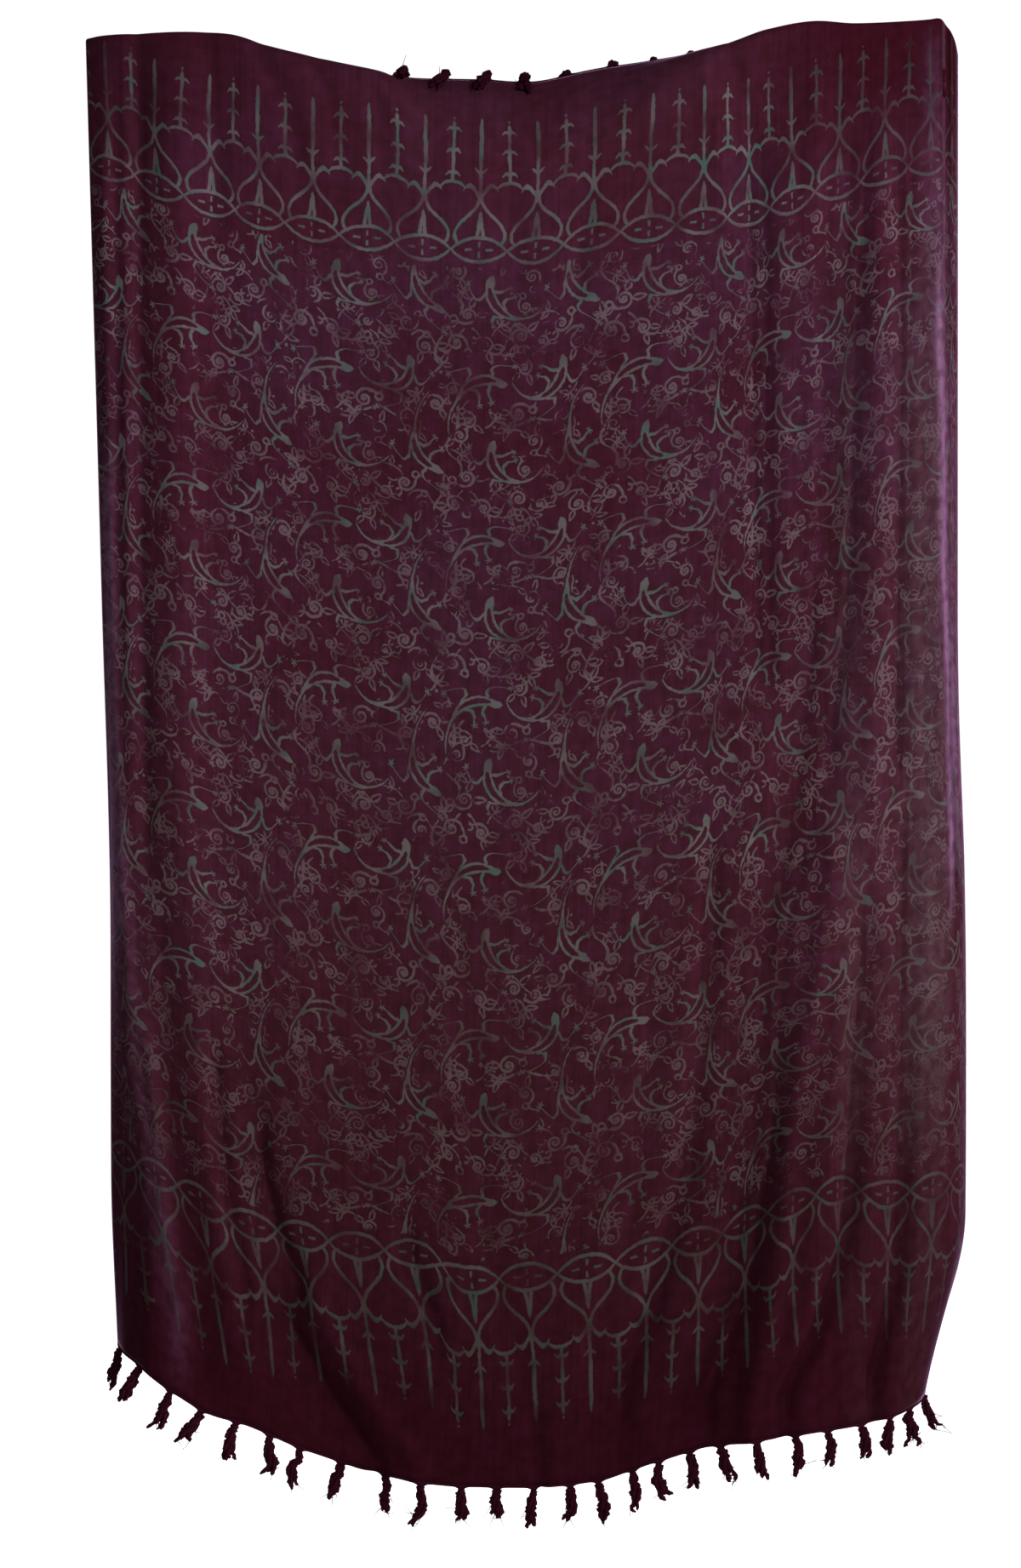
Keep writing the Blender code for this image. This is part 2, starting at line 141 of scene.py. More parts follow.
SoftLight = namedtuple("SoftLight", "name place aim size power color spread", defaults=(180,))
SOFT_LIGHTS = (
    SoftLight("front_key", (1.3, -2.8, 0.35), (0.05, 0.0, -0.62), (1.3, 1.2), 74, (1.0, 0.97, 0.99)),
    SoftLight("right_window", (2.4, -0.32, -0.6), (0.3, 0.0, -0.8), (0.4, 2.4), 30, (1.0, 0.84, 1.0)),
    SoftLight("back_window", (-1.5, 2.9, 0.2), (0.0, 0.0, -0.8), (1.6, 1.6), 70, (1.0, 0.97, 0.99)),
    SoftLight("right_crest", (-1.4, -1.9, -0.45), (0.480, 0.0, -0.45), (0.06, 1.5), 0.60,
              (0.90, 0.80, 1.0), 10),
    SoftLight("left_crest", (1.4, -1.9, -0.9), (-0.465, 0.0, -0.9), (0.06, 1.7), 0.60,
              (0.90, 0.76, 1.0), 10),
)


def add_soft_light(soft):
    data = bpy.data.lights.new(soft.name, "AREA")
    data.spread = math.radians(soft.spread)
    data.shape = "RECTANGLE"
    data.size, data.size_y = soft.size
    data.energy = soft.power
    data.color = soft.color
    light = bpy.data.objects.new(soft.name, data)
    light.location = soft.place
    light.rotation_euler = (Vector(soft.aim) - Vector(soft.place)).to_track_quat("-Z", "Y").to_euler()
    bpy.context.scene.collection.objects.link(light)


make_floor()
make_surround()
for soft_light in SOFT_LIGHTS:
    add_soft_light(soft_light)

# ======================================================================== cloth panel
# One flat length of plain-woven rayon, 1.15 m by 1.65 m, dyed plum over wax-stamped lines.
# Its top band is turned over behind at both corners, and its sides curl to the back.

CLOTH_WIDTH = 1.15
CLOTH_LENGTH = 1.65
CLOTH_THICKNESS = 0.0008
CLOTH_COLUMNS = 200
SIDE_CROWDING = 0.06        # draws the columns together towards the two curled sides
CLOTH_ROWS = {"flap": 5, "bend": 14, "front": 198}
ATLAS_MARGIN = 0.01

# The top edge: the height of the highest line, the straight length behind it, the length of
# the bend and the angle it turns through, at stations across the flat cloth.
TopStation = namedtuple("TopStation", "across height flap bend angle")
TOP_EDGE = [TopStation(*row) for row in (
    (0.000, -0.0060, 0.039, 0.0142, 180),
    (0.023, -0.0050, 0.036, 0.0142, 180),
    (0.096, -0.0055, 0.016, 0.0142, 180),
    (0.150, -0.0062, 0.005, 0.0160, 170),
    (0.182, -0.0080, 0.004, 0.0200, 140),
    (0.250, -0.0245, 0.006, 0.0280, 115),
    (0.348, -0.0450, 0.010, 0.0400, 100),
    (0.400, -0.0515, 0.016, 0.0800, 65),
    (0.476, -0.0520, 0.020, 0.1150, 52),
    (0.530, -0.0550, 0.020, 0.1200, 50),
    (0.612, -0.0395, 0.020, 0.1100, 52),
    (0.688, -0.0300, 0.012, 0.0600, 75),
    (0.770, -0.0165, 0.006, 0.0300, 110),
    (0.826, -0.0030, 0.004, 0.0200, 150),
    (0.900, 0.0058, 0.010, 0.0142, 180),
    (0.948, 0.0030, 0.021, 0.0142, 180),
    (1.020, 0.0050, 0.038, 0.0142, 180),
    (1.090, 0.0078, 0.043, 0.0142, 180),
    (1.150, -0.0213, 0.043, 0.0142, 180),
)]

HemStation = namedtuple("HemStation", "across height")
HEM = [HemStation(*row) for row in (
    (0.000, -1.515),
    (0.075, -1.533),
    (0.136, -1.559),
    (0.185, -1.581),
    (0.232, -1.593),
    (0.303, -1.623),
    (0.390, -1.652),
    (0.477, -1.665),
    (0.557, -1.6665),
    (0.640, -1.660),
    (0.710, -1.638),
    (0.776, -1.622),
    (0.854, -1.608),
    (0.944, -1.597),
    (1.040, -1.581),
    (1.100, -1.571),
    (1.150, -1.562),
)]

# The plan, at stations across: to the right (x) and to the back (y) at five levels, each a
# share of the way from the top line down to the hem.
LEVELS = (0.0, 0.42, 0.69, 0.87, 1.0)
PlanStation = namedtuple("PlanStation", "across x y")
PLAN = [PlanStation(*row) for row in (
    (0.000, (-0.5027, -0.4850, -0.4751, -0.4770, -0.4708), (0.050, 0.055, 0.062, 0.090, 0.105)),
    (0.032, (-0.4790, -0.4680, -0.4655, -0.4600, -0.4610), (0.032, 0.030, 0.034, 0.062, 0.077)),
    (0.060, (-0.4525, -0.4465, -0.4490, -0.4430, -0.4470), (0.018, 0.008, 0.010, 0.036, 0.054)),
    (0.096, (-0.4210, -0.4145, -0.4160, -0.4180, -0.4280), (0.009, 0.002, -0.006, 0.008, 0.028)),
    (0.160, (-0.3570, -0.3530, -0.3560, -0.3640, -0.3800), (0.003, 0.000, -0.012, -0.008, 0.006)),
    (0.224, (-0.3017, -0.2980, -0.3000, -0.3080, -0.3250), (0.000, -0.002, -0.015, -0.011, 0.002)),
    (0.352, (-0.1736, -0.1760, -0.1800, -0.1860, -0.1990), (0.000, -0.004, -0.018, -0.012, 0.006)),
    (0.544, (0.0184, 0.0120, 0.0060, 0.0020, -0.0050), (0.000, -0.005, -0.020, -0.013, 0.010)),
    (0.736, (0.2095, 0.2000, 0.1900, 0.1850, 0.1750), (0.000, -0.004, -0.018, -0.012, 0.006)),
    (0.864, (0.3094, 0.3060, 0.3050, 0.3030, 0.3000), (0.000, -0.005, -0.015, -0.008, 0.004)),
    (0.992, (0.4152, 0.4150, 0.4180, 0.4175, 0.4140), (-0.002, -0.006, -0.010, 0.002, 0.014)),
    (1.056, (0.4666, 0.4650, 0.4720, 0.4700, 0.4500), (-0.006, -0.008, 0.002, 0.018, 0.040)),
    (1.085, (0.4810, 0.4810, 0.4910, 0.4900, 0.4620), (0.006, 0.004, 0.020, 0.038, 0.064)),
    (1.120, (0.4930, 0.4935, 0.5055, 0.5060, 0.4680), (0.034, 0.034, 0.050, 0.068, 0.096)),
    (1.150, (0.5017, 0.5015, 0.5135, 0.5150, 0.4670), (0.060, 0.062, 0.078, 0.096, 0.124)),
)]

# The folds: the line that each follows, as points (x, z), how far its middle lies behind (+)
# or in front of (-) the cloth round it, its half width, and the height over which it fades out.
Fold = namedtuple("Fold", "line depth half_width fade")
LARGE_FOLD_FADE = 0.16
LARGE_FOLDS = [Fold(*row, LARGE_FOLD_FADE) for row in (
    (((0.376, -0.30), (0.356, -0.73), (0.318, -0.99), (0.284, -1.26), (0.250, -1.44), (0.205, -1.60)),
     0.018, 0.036),
    (((0.425, -0.30), (0.412, -0.73), (0.384, -0.99), (0.354, -1.26), (0.330, -1.44), (0.300, -1.58)),
     -0.012, 0.034),
    (((0.288, -0.16), (0.292, -0.42), (0.300, -0.66)), 0.010, 0.026),
    (((-0.437, -0.08), (-0.434, -0.80), (-0.412, -1.18), (-0.376, -1.46)), 0.012, 0.028),
    (((-0.390, -0.12), (-0.387, -0.80), (-0.360, -1.18), (-0.318, -1.48)), -0.008, 0.032),
    (((0.240, -1.16), (0.170, -1.40), (0.090, -1.60)), 0.011, 0.042),
    (((-0.320, -1.22), (-0.276, -1.44), (-0.200, -1.60)), 0.011, 0.036),
)]

# The smaller creases, which lie in the large folds and fan out from the two held corners, and
# the sharp crests where the cloth turns back at both sides.
CREASES = [Fold(*row) for row in (
    (((-0.481, -0.20), (-0.474, -0.55), (-0.463, -0.86), (-0.449, -1.08), (-0.424, -1.21), (-0.412, -1.35),
      (-0.392, -1.45)), -0.005, 0.009, 0.10),
    (((-0.466, -0.10), (-0.461, -0.70), (-0.444, -1.08), (-0.420, -1.30)), 0.004, 0.008, 0.10),
    (((-0.441, -0.06), (-0.439, -0.50), (-0.430, -0.90)), 0.005, 0.009, 0.12),
    (((0.475, 0.02), (0.475, -0.40), (0.476, -0.75), (0.484, -0.95)), -0.0065, 0.0055, 0.14),
    (((0.485, 0.02), (0.485, -0.40), (0.486, -0.75), (0.494, -0.95)), 0.0110, 0.0045, 0.14),
    (((0.497, 0.02), (0.497, -0.40), (0.498, -0.75), (0.506, -0.95)), -0.0140, 0.0060, 0.14),
    (((0.458, -0.10), (0.457, -0.50), (0.462, -0.85)), 0.004, 0.009, 0.12),
    (((0.272, -0.20), (0.274, -0.46), (0.279, -0.70)), 0.017, 0.011, 0.10),
    (((0.298, -0.18), (0.300, -0.46), (0.303, -0.70)), -0.005, 0.010, 0.10),
    (((0.334, -0.10), (0.336, -0.52), (0.318, -0.84)), -0.008, 0.014, 0.12),
    (((0.388, -0.20), (0.377, -0.40), (0.371, -0.62), (0.352, -0.80)), 0.020, 0.011, 0.12),
    (((0.410, -0.16), (0.404, -0.50), (0.396, -0.84)), -0.006, 0.011, 0.12),
    (((0.440, -0.20), (0.437, -0.46), (0.432, -0.80)), 0.018, 0.010, 0.12),
    (((0.236, -0.03), (0.254, -0.08), (0.268, -0.14)), 0.006, 0.005, 0.03),
    (((0.205, -0.06), (0.222, -0.12), (0.231, -0.20)), -0.005, 0.012, 0.05),
    (((-0.300, -0.03), (-0.272, -0.08), (-0.255, -0.15)), 0.006, 0.010, 0.05),
    (((-0.235, -0.05), (-0.215, -0.10), (-0.205, -0.15)), 0.0035, 0.009, 0.05),
    (((-0.170, -0.07), (-0.160, -0.11), (-0.156, -0.16)), 0.0030, 0.009, 0.05),
    (((-0.360, -0.02), (-0.350, -0.10), (-0.346, -0.22)), 0.0030, 0.011, 0.06),
    (((0.342, -0.70), (0.320, -0.93), (0.295, -1.04), (0.283, -1.26), (0.269, -1.34), (0.253, -1.44),
      (0.209, -1.56)), 0.018, 0.011, 0.10),
    (((0.392, -1.05), (0.379, -1.22), (0.370, -1.36), (0.347, -1.45), (0.300, -1.56)), 0.019, 0.012, 0.12),
    (((0.440, -0.95), (0.436, -1.20), (0.428, -1.40), (0.400, -1.54)), 0.015, 0.012, 0.12),
    (((0.354, -0.96), (0.342, -1.05), (0.322, -1.16), (0.304, -1.28), (0.288, -1.42), (0.258, -1.58)),
     -0.014, 0.013, 0.12),
    (((0.215, -1.02), (0.200, -1.22), (0.160, -1.42), (0.112, -1.56)), 0.013, 0.012, 0.14),
    (((0.150, -1.16), (0.128, -1.34), (0.082, -1.50)), 0.006, 0.016, 0.12),
    (((-0.300, -1.29), (-0.281, -1.37), (-0.255, -1.43)), 0.014, 0.010, 0.08),
    (((-0.350, -1.20), (-0.338, -1.32), (-0.316, -1.44)), 0.012, 0.010, 0.08),
    (((-0.129, -1.40), (-0.115, -1.44), (-0.098, -1.48)), 0.014, 0.009, 0.06),
    (((-0.2755, -1.468), (-0.215, -1.565), (-0.166, -1.638)), 0.018, 0.012, 0.08),
    (((-0.235, -1.46), (-0.180, -1.56), (-0.120, -1.64)), -0.009, 0.013, 0.08),
    (((0.018, -1.595), (0.019, -1.63), (0.020, -1.66)), 0.0100, 0.006, 0.04),
    (((-0.060, -1.20), (-0.040, -1.38), (0.000, -1.54)), 0.003, 0.018, 0.14),
    (((-0.020, -0.10), (-0.015, -0.20), (-0.010, -0.30)), 0.0025, 0.014, 0.10),
    (((0.080, -0.08), (0.070, -0.18), (0.062, -0.30)), 0.0025, 0.012, 0.10),
    (((-0.110, -0.09), (-0.104, -0.18), (-0.100, -0.30)), 0.0020, 0.012, 0.10),
)]

# Where a highlight is painted along those crests, paler and more violet: lines as above, how strong the
# painted highlight is, the half width and the fade.
PAINTED_CREST_HIGHLIGHTS = [Fold(*row) for row in (
    (((0.467, -0.05), (0.468, -0.17), (0.475, -0.32), (0.479, -0.46), (0.480, -0.60), (0.489, -0.76),
      (0.492, -0.92)), 0.12, 0.010, 0.06),
    (((0.475, -0.36), (0.479, -0.46), (0.480, -0.60), (0.489, -0.76), (0.492, -0.92)), 0.85, 0.0042, 0.12),
    (((0.488, -0.44), (0.490, -0.60), (0.497, -0.76), (0.502, -0.92)), 0.22, 0.010, 0.10),
    (((-0.477, -0.56), (-0.473, -0.72), (-0.470, -0.84), (-0.463, -0.96)), 0.45, 0.007, 0.12),
    (((-0.458, -1.02), (-0.447, -1.12), (-0.430, -1.26), (-0.413, -1.38), (-0.394, -1.48)),
     0.10, 0.013, 0.10),
)]


def smooth_between(keys, values, at):
    """Cubic interpolation that keeps to the rows and runs on straight past both ends.

    values has a row for each key, and either one column or a column for each entry of at.
    """
    keys, at = np.asarray(keys, float), np.asarray(at, float)
    values = np.broadcast_to(np.asarray(values, float).reshape(len(keys), -1), (len(keys), at.size))
    slopes = np.diff(values, axis=0) / np.diff(keys)[:, None]
    before, after = slopes[:-1], slopes[1:]
    total = np.where(before * after > 0, before + after, 1.0)
    inner = np.where(before * after > 0, 2 * before * after / total, 0.0)
    tangents = np.concatenate((slopes[:1], inner, slopes[-1:]))
    i = np.clip(np.searchsorted(keys, at, side="right") - 1, 0, len(slopes) - 1)
    column = np.arange(at.size)
    span = keys[i + 1] - keys[i]
    t = (at - keys[i]) / span
    start = 2 * t**3 - 3 * t**2 + 1
    leaving, arriving = t**3 - 2 * t**2 + t, t**3 - t**2
    inside = (start * values[i, column] + (1 - start) * values[i + 1, column]
              + span * (leaving * tangents[i, column] + arriving * tangents[i + 1, column]))
    left = values[0] + slopes[0] * (at - keys[0])
    right = values[-1] + slopes[-1] * (at - keys[-1])
    return np.where(at < keys[0], left, np.where(at > keys[-1], right, inside))


def from_table(table, name, across):
    return smooth_between([row.across for row in table], [getattr(row, name) for row in table], across)


def plan_place(across, level):
    """Where the cloth lies, seen from above: x and y at stations and levels."""
    keys = [row.across for row in PLAN]
    place = []
    for name in ("x", "y"):
        at_levels = [smooth_between(keys, [getattr(row, name)[i] for row in PLAN], across)
                     for i in range(len(LEVELS))]
        place.append(smooth_between(LEVELS, at_levels, level))
    return np.stack(place)


def fold_offset(folds, x, z):
    """How far a set of folds pushes the cloth to the back at places in the front view."""
    total = np.zeros_like(x)
    for fold in folds:
        line_x, line_z = np.array(fold.line).T
        past_end = np.maximum(np.maximum(z - line_z[0], line_z[-1] - z), 0.0)
        middle = smooth_between(-line_z, line_x, np.clip(-z, -line_z[0], -line_z[-1]))
        fade = 0.5 + 0.5 * np.cos(np.pi * np.minimum(past_end / fold.fade, 1.0))
        total += fold.depth * fade * np.exp(-((x - middle) / fold.half_width) ** 2)
    return total


def roll_profile(across, down):
    """Seen from the side: how far behind the front and how high the cloth lies."""
    flap, bend = from_table(TOP_EDGE, "flap", across), from_table(TOP_EDGE, "bend", across)
    angle = np.radians(from_table(TOP_EDGE, "angle", across))
    radius = bend / angle
    highest = radius * np.sin(np.minimum(angle, np.pi / 2)) + np.maximum(0.0, flap * np.cos(angle))
    bend_end = flap + bend
    bend_end_height = from_table(TOP_EDGE, "height", across) - highest
    turned = np.clip((bend_end - down) / bend, 0.0, 1.0) * angle
    straight = np.maximum(flap - down, 0.0)
    behind = radius * (1.0 - np.cos(turned)) + straight * np.sin(angle)
    above = radius * np.sin(turned) + straight * np.cos(angle)
    share = np.maximum(down - bend_end, 0.0) / (CLOTH_LENGTH - bend_end)
    front = share * (from_table(HEM, "height", across) - bend_end_height)
    return behind, bend_end_height + above + front


def cloth_points(across, down):
    """Points of the cloth's middle surface, from their places on the flat cloth."""
    across, down = np.atleast_1d(across).astype(float), np.atleast_1d(down).astype(float)
    behind, height = roll_profile(across, down)
    top = from_table(TOP_EDGE, "height", across)
    level = (top - height) / (top - from_table(HEM, "height", across))
    step = 0.002
    x, y = plan_place(across, level)
    along_x, along_y = plan_place(across + step, level) - plan_place(across - step, level)
    length = np.hypot(along_x, along_y)
    x = x - along_y / length * behind
    y = y + along_x / length * behind
    return np.stack((x, y + fold_offset(LARGE_FOLDS + CREASES, x, height), height), axis=1)


def make_cloth_panel():
    """A grid laid out on the cloth's middle surface and thickened, with two UV maps: the flat
    cloth in metres, and an atlas that holds the front beside the back."""
    rows = sum(CLOTH_ROWS.values())
    bm = bmesh.new()
    bmesh.ops.create_grid(bm, x_segments=CLOTH_COLUMNS, y_segments=rows, size=0.5)
    bm.verts.ensure_lookup_table()
    local = np.array([vert.co[:2] for vert in bm.verts])
    share = np.round((local[:, 0] + 0.5) * CLOTH_COLUMNS) / CLOTH_COLUMNS
    across = CLOTH_WIDTH * (share - SIDE_CROWDING * np.sin(2 * np.pi * share))
    row = np.round((0.5 - local[:, 1]) * rows)
    flap, bend = from_table(TOP_EDGE, "flap", across), from_table(TOP_EDGE, "bend", across)
    past_flap = row - CLOTH_ROWS["flap"]
    past_bend = past_flap - CLOTH_ROWS["bend"]
    down = (flap * np.clip(row / CLOTH_ROWS["flap"], 0, 1)
            + bend * np.clip(past_flap / CLOTH_ROWS["bend"], 0, 1)
            + (CLOTH_LENGTH - flap - bend) * np.clip(past_bend / CLOTH_ROWS["front"], 0, 1))
    across_layer = bm.verts.layers.float.new("across")
    down_layer = bm.verts.layers.float.new("down")
    crest_highlight_layer = bm.verts.layers.float.new("crest_highlight")
    places = cloth_points(across, down)
    # the painted highlight along the crests at both sides, kept on each point for the print to lighten the
    # colour
    crest_highlight = fold_offset(PAINTED_CREST_HIGHLIGHTS, places[:, 0], places[:, 2])
    for vert, place, a, d, pale in zip(bm.verts, places, across, down, crest_highlight):
        vert.co = place
        vert[across_layer] = a
        vert[down_layer] = d
        vert[crest_highlight_layer] = pale
    bm.normal_update()
    for vert in bm.verts:
        vert.co = vert.co + vert.normal * CLOTH_THICKNESS / 2
    front = list(bm.faces)
    back = [g for g in bmesh.ops.solidify(bm, geom=front, thickness=CLOTH_THICKNESS)["geom"]
            if isinstance(g, bmesh.types.BMFace)]
    flat_map = bm.loops.layers.uv.new("flat_cloth")
    atlas = bm.loops.layers.uv.new("OFBake")
    behind = set(back)
    for face in bm.faces:
        on_back = face in behind
        for loop in face.loops:
            a, d = loop.vert[across_layer], loop.vert[down_layer]
            loop[flat_map].uv = (a, CLOTH_LENGTH - d)
            u = ATLAS_MARGIN + (0.5 - 2 * ATLAS_MARGIN) * a / CLOTH_WIDTH
            v = ATLAS_MARGIN + (1 - 2 * ATLAS_MARGIN) * (1 - d / CLOTH_LENGTH)
            loop[atlas].uv = (1.0 - u if on_back else u, v)
    cloth = add_piece("cloth", bm)
    cloth.data.shade_smooth()
    return cloth


cloth = make_cloth_panel()

# ======================================================================== stamped print
# Wax lines stamped on the flat cloth before it was dyed plum, so they stay grey-green.  Each end
# has a border of domes and spears, and the field repeats one stamp of geckos among curling vines.

plum = bpy.data.materials.new("plum_batik_rayon")
plum.use_nodes = True
plum_nodes, plum_links = plum.node_tree.nodes, plum.node_tree.links


class Value:
    """A number at every point of the cloth, in millimetres where it is a length."""

    def __init__(self, socket):
        self.socket = socket

    def __add__(self, other):
        return calculate("ADD", self, other)

    def __sub__(self, other):
        return calculate("SUBTRACT", self, other)

    def __rsub__(self, other):
        return calculate("SUBTRACT", other, self)

    def __mul__(self, other):
        return calculate("MULTIPLY", self, other)

    def __abs__(self):
        return calculate("ABSOLUTE", self)

    def curve(self, *points):
        """What a smooth curve through the points (value, result) gives, level past both ends."""
        node = plum_nodes.new("ShaderNodeFloatCurve")
        node.mapping.use_clip = False
        node.mapping.extend = "HORIZONTAL"
        drawn = node.mapping.curves[0].points
        drawn[0].location, drawn[1].location = points[:2]
        for point in points[2:]:
            drawn.new(*point)
        for point in drawn:
            point.handle_type = "AUTO_CLAMPED"
        node.mapping.update()
        plum_links.new(self.socket, node.inputs["Value"])
        return Value(node.outputs["Value"])


def connect(node, *terms):
    """Links or sets a node's inputs in turn, to a Value, a socket or a plain value each."""
    for slot, term in zip([slot for slot in node.inputs if slot.enabled], terms):
        if isinstance(term, Value):
            plum_links.new(term.socket, slot)
        elif isinstance(term, bpy.types.NodeSocket):
            plum_links.new(term, slot)
        elif term is not None:
            slot.default_value = term
    return node


def calculate(operation, *terms, clamp=False):
    node = plum_nodes.new("ShaderNodeMath")
    node.operation = operation
    node.use_clamp = clamp
    return Value(connect(node, *terms).outputs[0])


def of_vector(operation, *terms):
    """The vector that a Vector Math node gives; LENGTH gives a Value."""
    node = plum_nodes.new("ShaderNodeVectorMath")
    node.operation = operation
    connect(node, *terms)
    return Value(node.outputs["Value"]) if operation == "LENGTH" else node.outputs["Vector"]


def split(vector):
    node = plum_nodes.new("ShaderNodeSeparateXYZ")
    plum_links.new(vector, node.inputs[0])
    return Value(node.outputs[0]), Value(node.outputs[1]), Value(node.outputs[2])


def join(x, y, z=0.0):
    return connect(plum_nodes.new("ShaderNodeCombineXYZ"), x, y, z).outputs[0]


def noise(vector, size, detail=2.0, color=False):
    """Smooth noise whose blotches are about size wide: its level round a half, or its colour."""
    node = plum_nodes.new("ShaderNodeTexNoise")
    node.noise_dimensions = "2D"
    node.inputs["Scale"].default_value = 1.0 / size
    node.inputs["Detail"].default_value = detail
    plum_links.new(vector, node.inputs["Vector"])
    return node.outputs["Color"] if color else Value(node.outputs["Fac"])


def larger(*values):
    most = values[0]
    for value in values[1:]:
        most = calculate("MAXIMUM", most, value)
    return most


def smaller(*values):
    least = values[0]
    for value in values[1:]:
        least = calculate("MINIMUM", least, value)
    return least


def stroke(onward, aside, line, half_width, evened=None):
    """A drawn line, above nought inside it: the places (onward, aside) that it passes, and its half
    width along it.  Two Values say where a point is, and evened evens out the width, if given."""
    off_line = abs(aside - onward.curve(*line))
    return onward.curve(*half_width) - (off_line if evened is None else off_line * evened)


# Where a point is on the flat cloth: millimetres from its left side and down from its top edge,
# pushed about a little, as the hand and the stretch of the cloth do.
flat_map = plum_nodes.new("ShaderNodeUVMap")
flat_map.uv_map = "flat_cloth"
LENGTH_MM = CLOTH_LENGTH * 1000
WIDTH_MM = CLOTH_WIDTH * 1000
flat_mm = of_vector("MULTIPLY_ADD", flat_map.outputs["UV"], (1000, -1000, 0), (0, LENGTH_MM, 0))
HAND_WANDER = ((160.0, 9.0), (22.0, 1.7))       # the size of a blotch and how far it pushes
wandered = flat_mm
for size, push in HAND_WANDER:
    shove = of_vector("SUBTRACT", noise(flat_mm, size, 1.0, color=True), (0.5, 0.5, 0.5))
    wandered = of_vector("MULTIPLY_ADD", shove, (push, push, 0), wandered)
across, down, _ = split(wandered)

# The way it hangs has drawn both ends askew: the upper border sags, and the lower one steps up and
# down over the folds, its domes crowd and spread, and its spears lean.
LEAN_START = 1400.0
askew = down.curve((1120, 0), (LEAN_START, 1), (1650, 1))
leaning = across.curve((0, 0), (70, 0.10), (130, 0.27), (230, 0.27), (300, 0.19), (430, 0.18), (490, 0.11),
                       (560, 0.07), (760, 0.05), (930, 0.06), (1060, 0.0), (1150, 0))
sideways = across.curve((0, 0), (230, -7), (300, -6), (430, 0), (550, 4), (622, 10), (700, 16), (757, 15),
                        (820, 10), (880, 5), (940, -3), (1000, 0), (1150, 0))
upward = across.curve((0, 5), (130, 8), (224, -4), (290, 8), (355, 20), (428, 25), (480, 0), (550, 8),
                      (640, 14), (757, 8), (820, 20), (877, 34), (928, 40), (993, 22), (1150, 18))
sagging = across.curve((0, -8), (60, -8), (110, 2), (180, 9), (240, 12), (420, 15), (560, 13), (700, 12),
                       (850, 10), (930, 4), (1000, 2), (1150, 0)) * down.curve((0, 1), (330, 1), (650, 0))
across = across - sideways * askew - leaning * calculate("MAXIMUM", down - LEAN_START, 0.0)
down = down + upward * askew - sagging

# ---- the border: d runs from the spears' tips to the eyes, and a from the middle of a dome
BORDER_REPEATS = 18
PITCH = WIDTH_MM / BORDER_REPEATS
TOP_MARGIN = 57.0
BOTTOM_MARGIN = 66.0
BOTTOM_STRETCH = 1.10       # the lower border is drawn this much longer by its weight
EYES = 155.0                # the middle line of the row of eyes, along d
ARM_PITCH = 25.0
FIRST_ARMS = 16.0
from_hem = calculate("SUBTRACT", LENGTH_MM - BOTTOM_MARGIN, down)
d = smaller(down - TOP_MARGIN, from_hem * (1 / BOTTOM_STRETCH))
a = abs(calculate("WRAP", across, PITCH, 0.0) - PITCH / 2)
b = PITCH / 2 - a                               # from the line half way between two domes

dome = stroke(d, a, ((92, 0.6), (100, 2.4), (107, 6), (114, 12.5), (121, 20), (129, 26), (137, 28.4),
                     (144, 26.8), (149, 23.0), (153, 19)),
              ((90, -2), (92, 1.6), (100, 1.5), (108, 2.0), (116, 2.5), (124, 2.0), (132, 1.4), (146, 1.7),
               (149, 1.8), (150, -2)))
spear = d.curve((0, -1), (1.5, 0.3), (5, 1.3), (22, 1.9), (45, 1.9), (66, 1.4), (84, 1.5), (92, 2.8),
                (98, 2.6), (101, -1)) - a
collar = stroke(a, d, ((0, 66), (3, 64), (8, 60)), ((0, 2.2), (3, 1.8), (6.5, 0.8), (8, -1)))
bracket = stroke(a, d, ((0, 93), (4, 88.5), (8, 83), (12, 80), (16, 81.5), (20, 87)),
                 ((0, 3.0), (5, 3.0), (11, 2.7), (16, 1.8), (19, 0.9), (20, -1)))
link = stroke(a, d, ((17, 83.5), (20, 80), (24, 77.5), (32, 75.5)),
              ((16, -1), (18, 1.0), (23, 1.6), (32, 1.7)))
knotted = d.curve((0, -2), (2, 1.1), (5, -0.4), (8, 1.2), (11, 1.6), (30, 1.2), (50, 1.7), (66, 1.2),
                  (74, 1.6), (77, -1)) - b
from_arms = calculate("WRAP", d + b.curve((0, 0), (4, 0.6), (8, -2.8)),
                      FIRST_ARMS + ARM_PITCH / 2, FIRST_ARMS - ARM_PITCH / 2) - FIRST_ARMS
arms = b.curve((0, 2.0), (4, 1.6), (7.5, 0.9), (9, -1)) - abs(from_arms)
arms = smaller(arms, 76.0 - d, d - 6.0)         # none at the tip or at the foot of the stem
from_eyes = abs(d - EYES)
eye = 1.7 - abs(from_eyes - a.curve((0, 14.2), (10, 13.0), (20, 9.2), (28, 3.6), (32, -0.6)))
dashes = larger(
    smaller(1.0 - from_eyes, 3.6 - abs(a - 12.0)),
    smaller(0.9 - a, 3.0 - abs(from_eyes - 6.0)),
)
flame = smaller(
    d.curve((109, -1), (111, 0.4), (118, 2.2), (128, 3.4), (138, 4.9), (141, 5.2), (143, -1)) - a,
    a - d.curve((126, -3), (130, 0.2), (137, 1.2), (141, 1.6)),
)
border = larger(dome, spear, collar, bracket, link, knotted, arms, eye, dashes, flame)

# ---- the field: one stamp, set down again and again across and down it
STAMP_WIDTH = 177.0
STAMP_HEIGHT = 191.0
STAMP_START = (8.0, 226.0)
on_stamps = of_vector("SUBTRACT", join(across, down), (*STAMP_START, 0))
in_stamp = of_vector("WRAP", on_stamps, (STAMP_WIDTH, STAMP_HEIGHT, 1), (0, 0, 0))


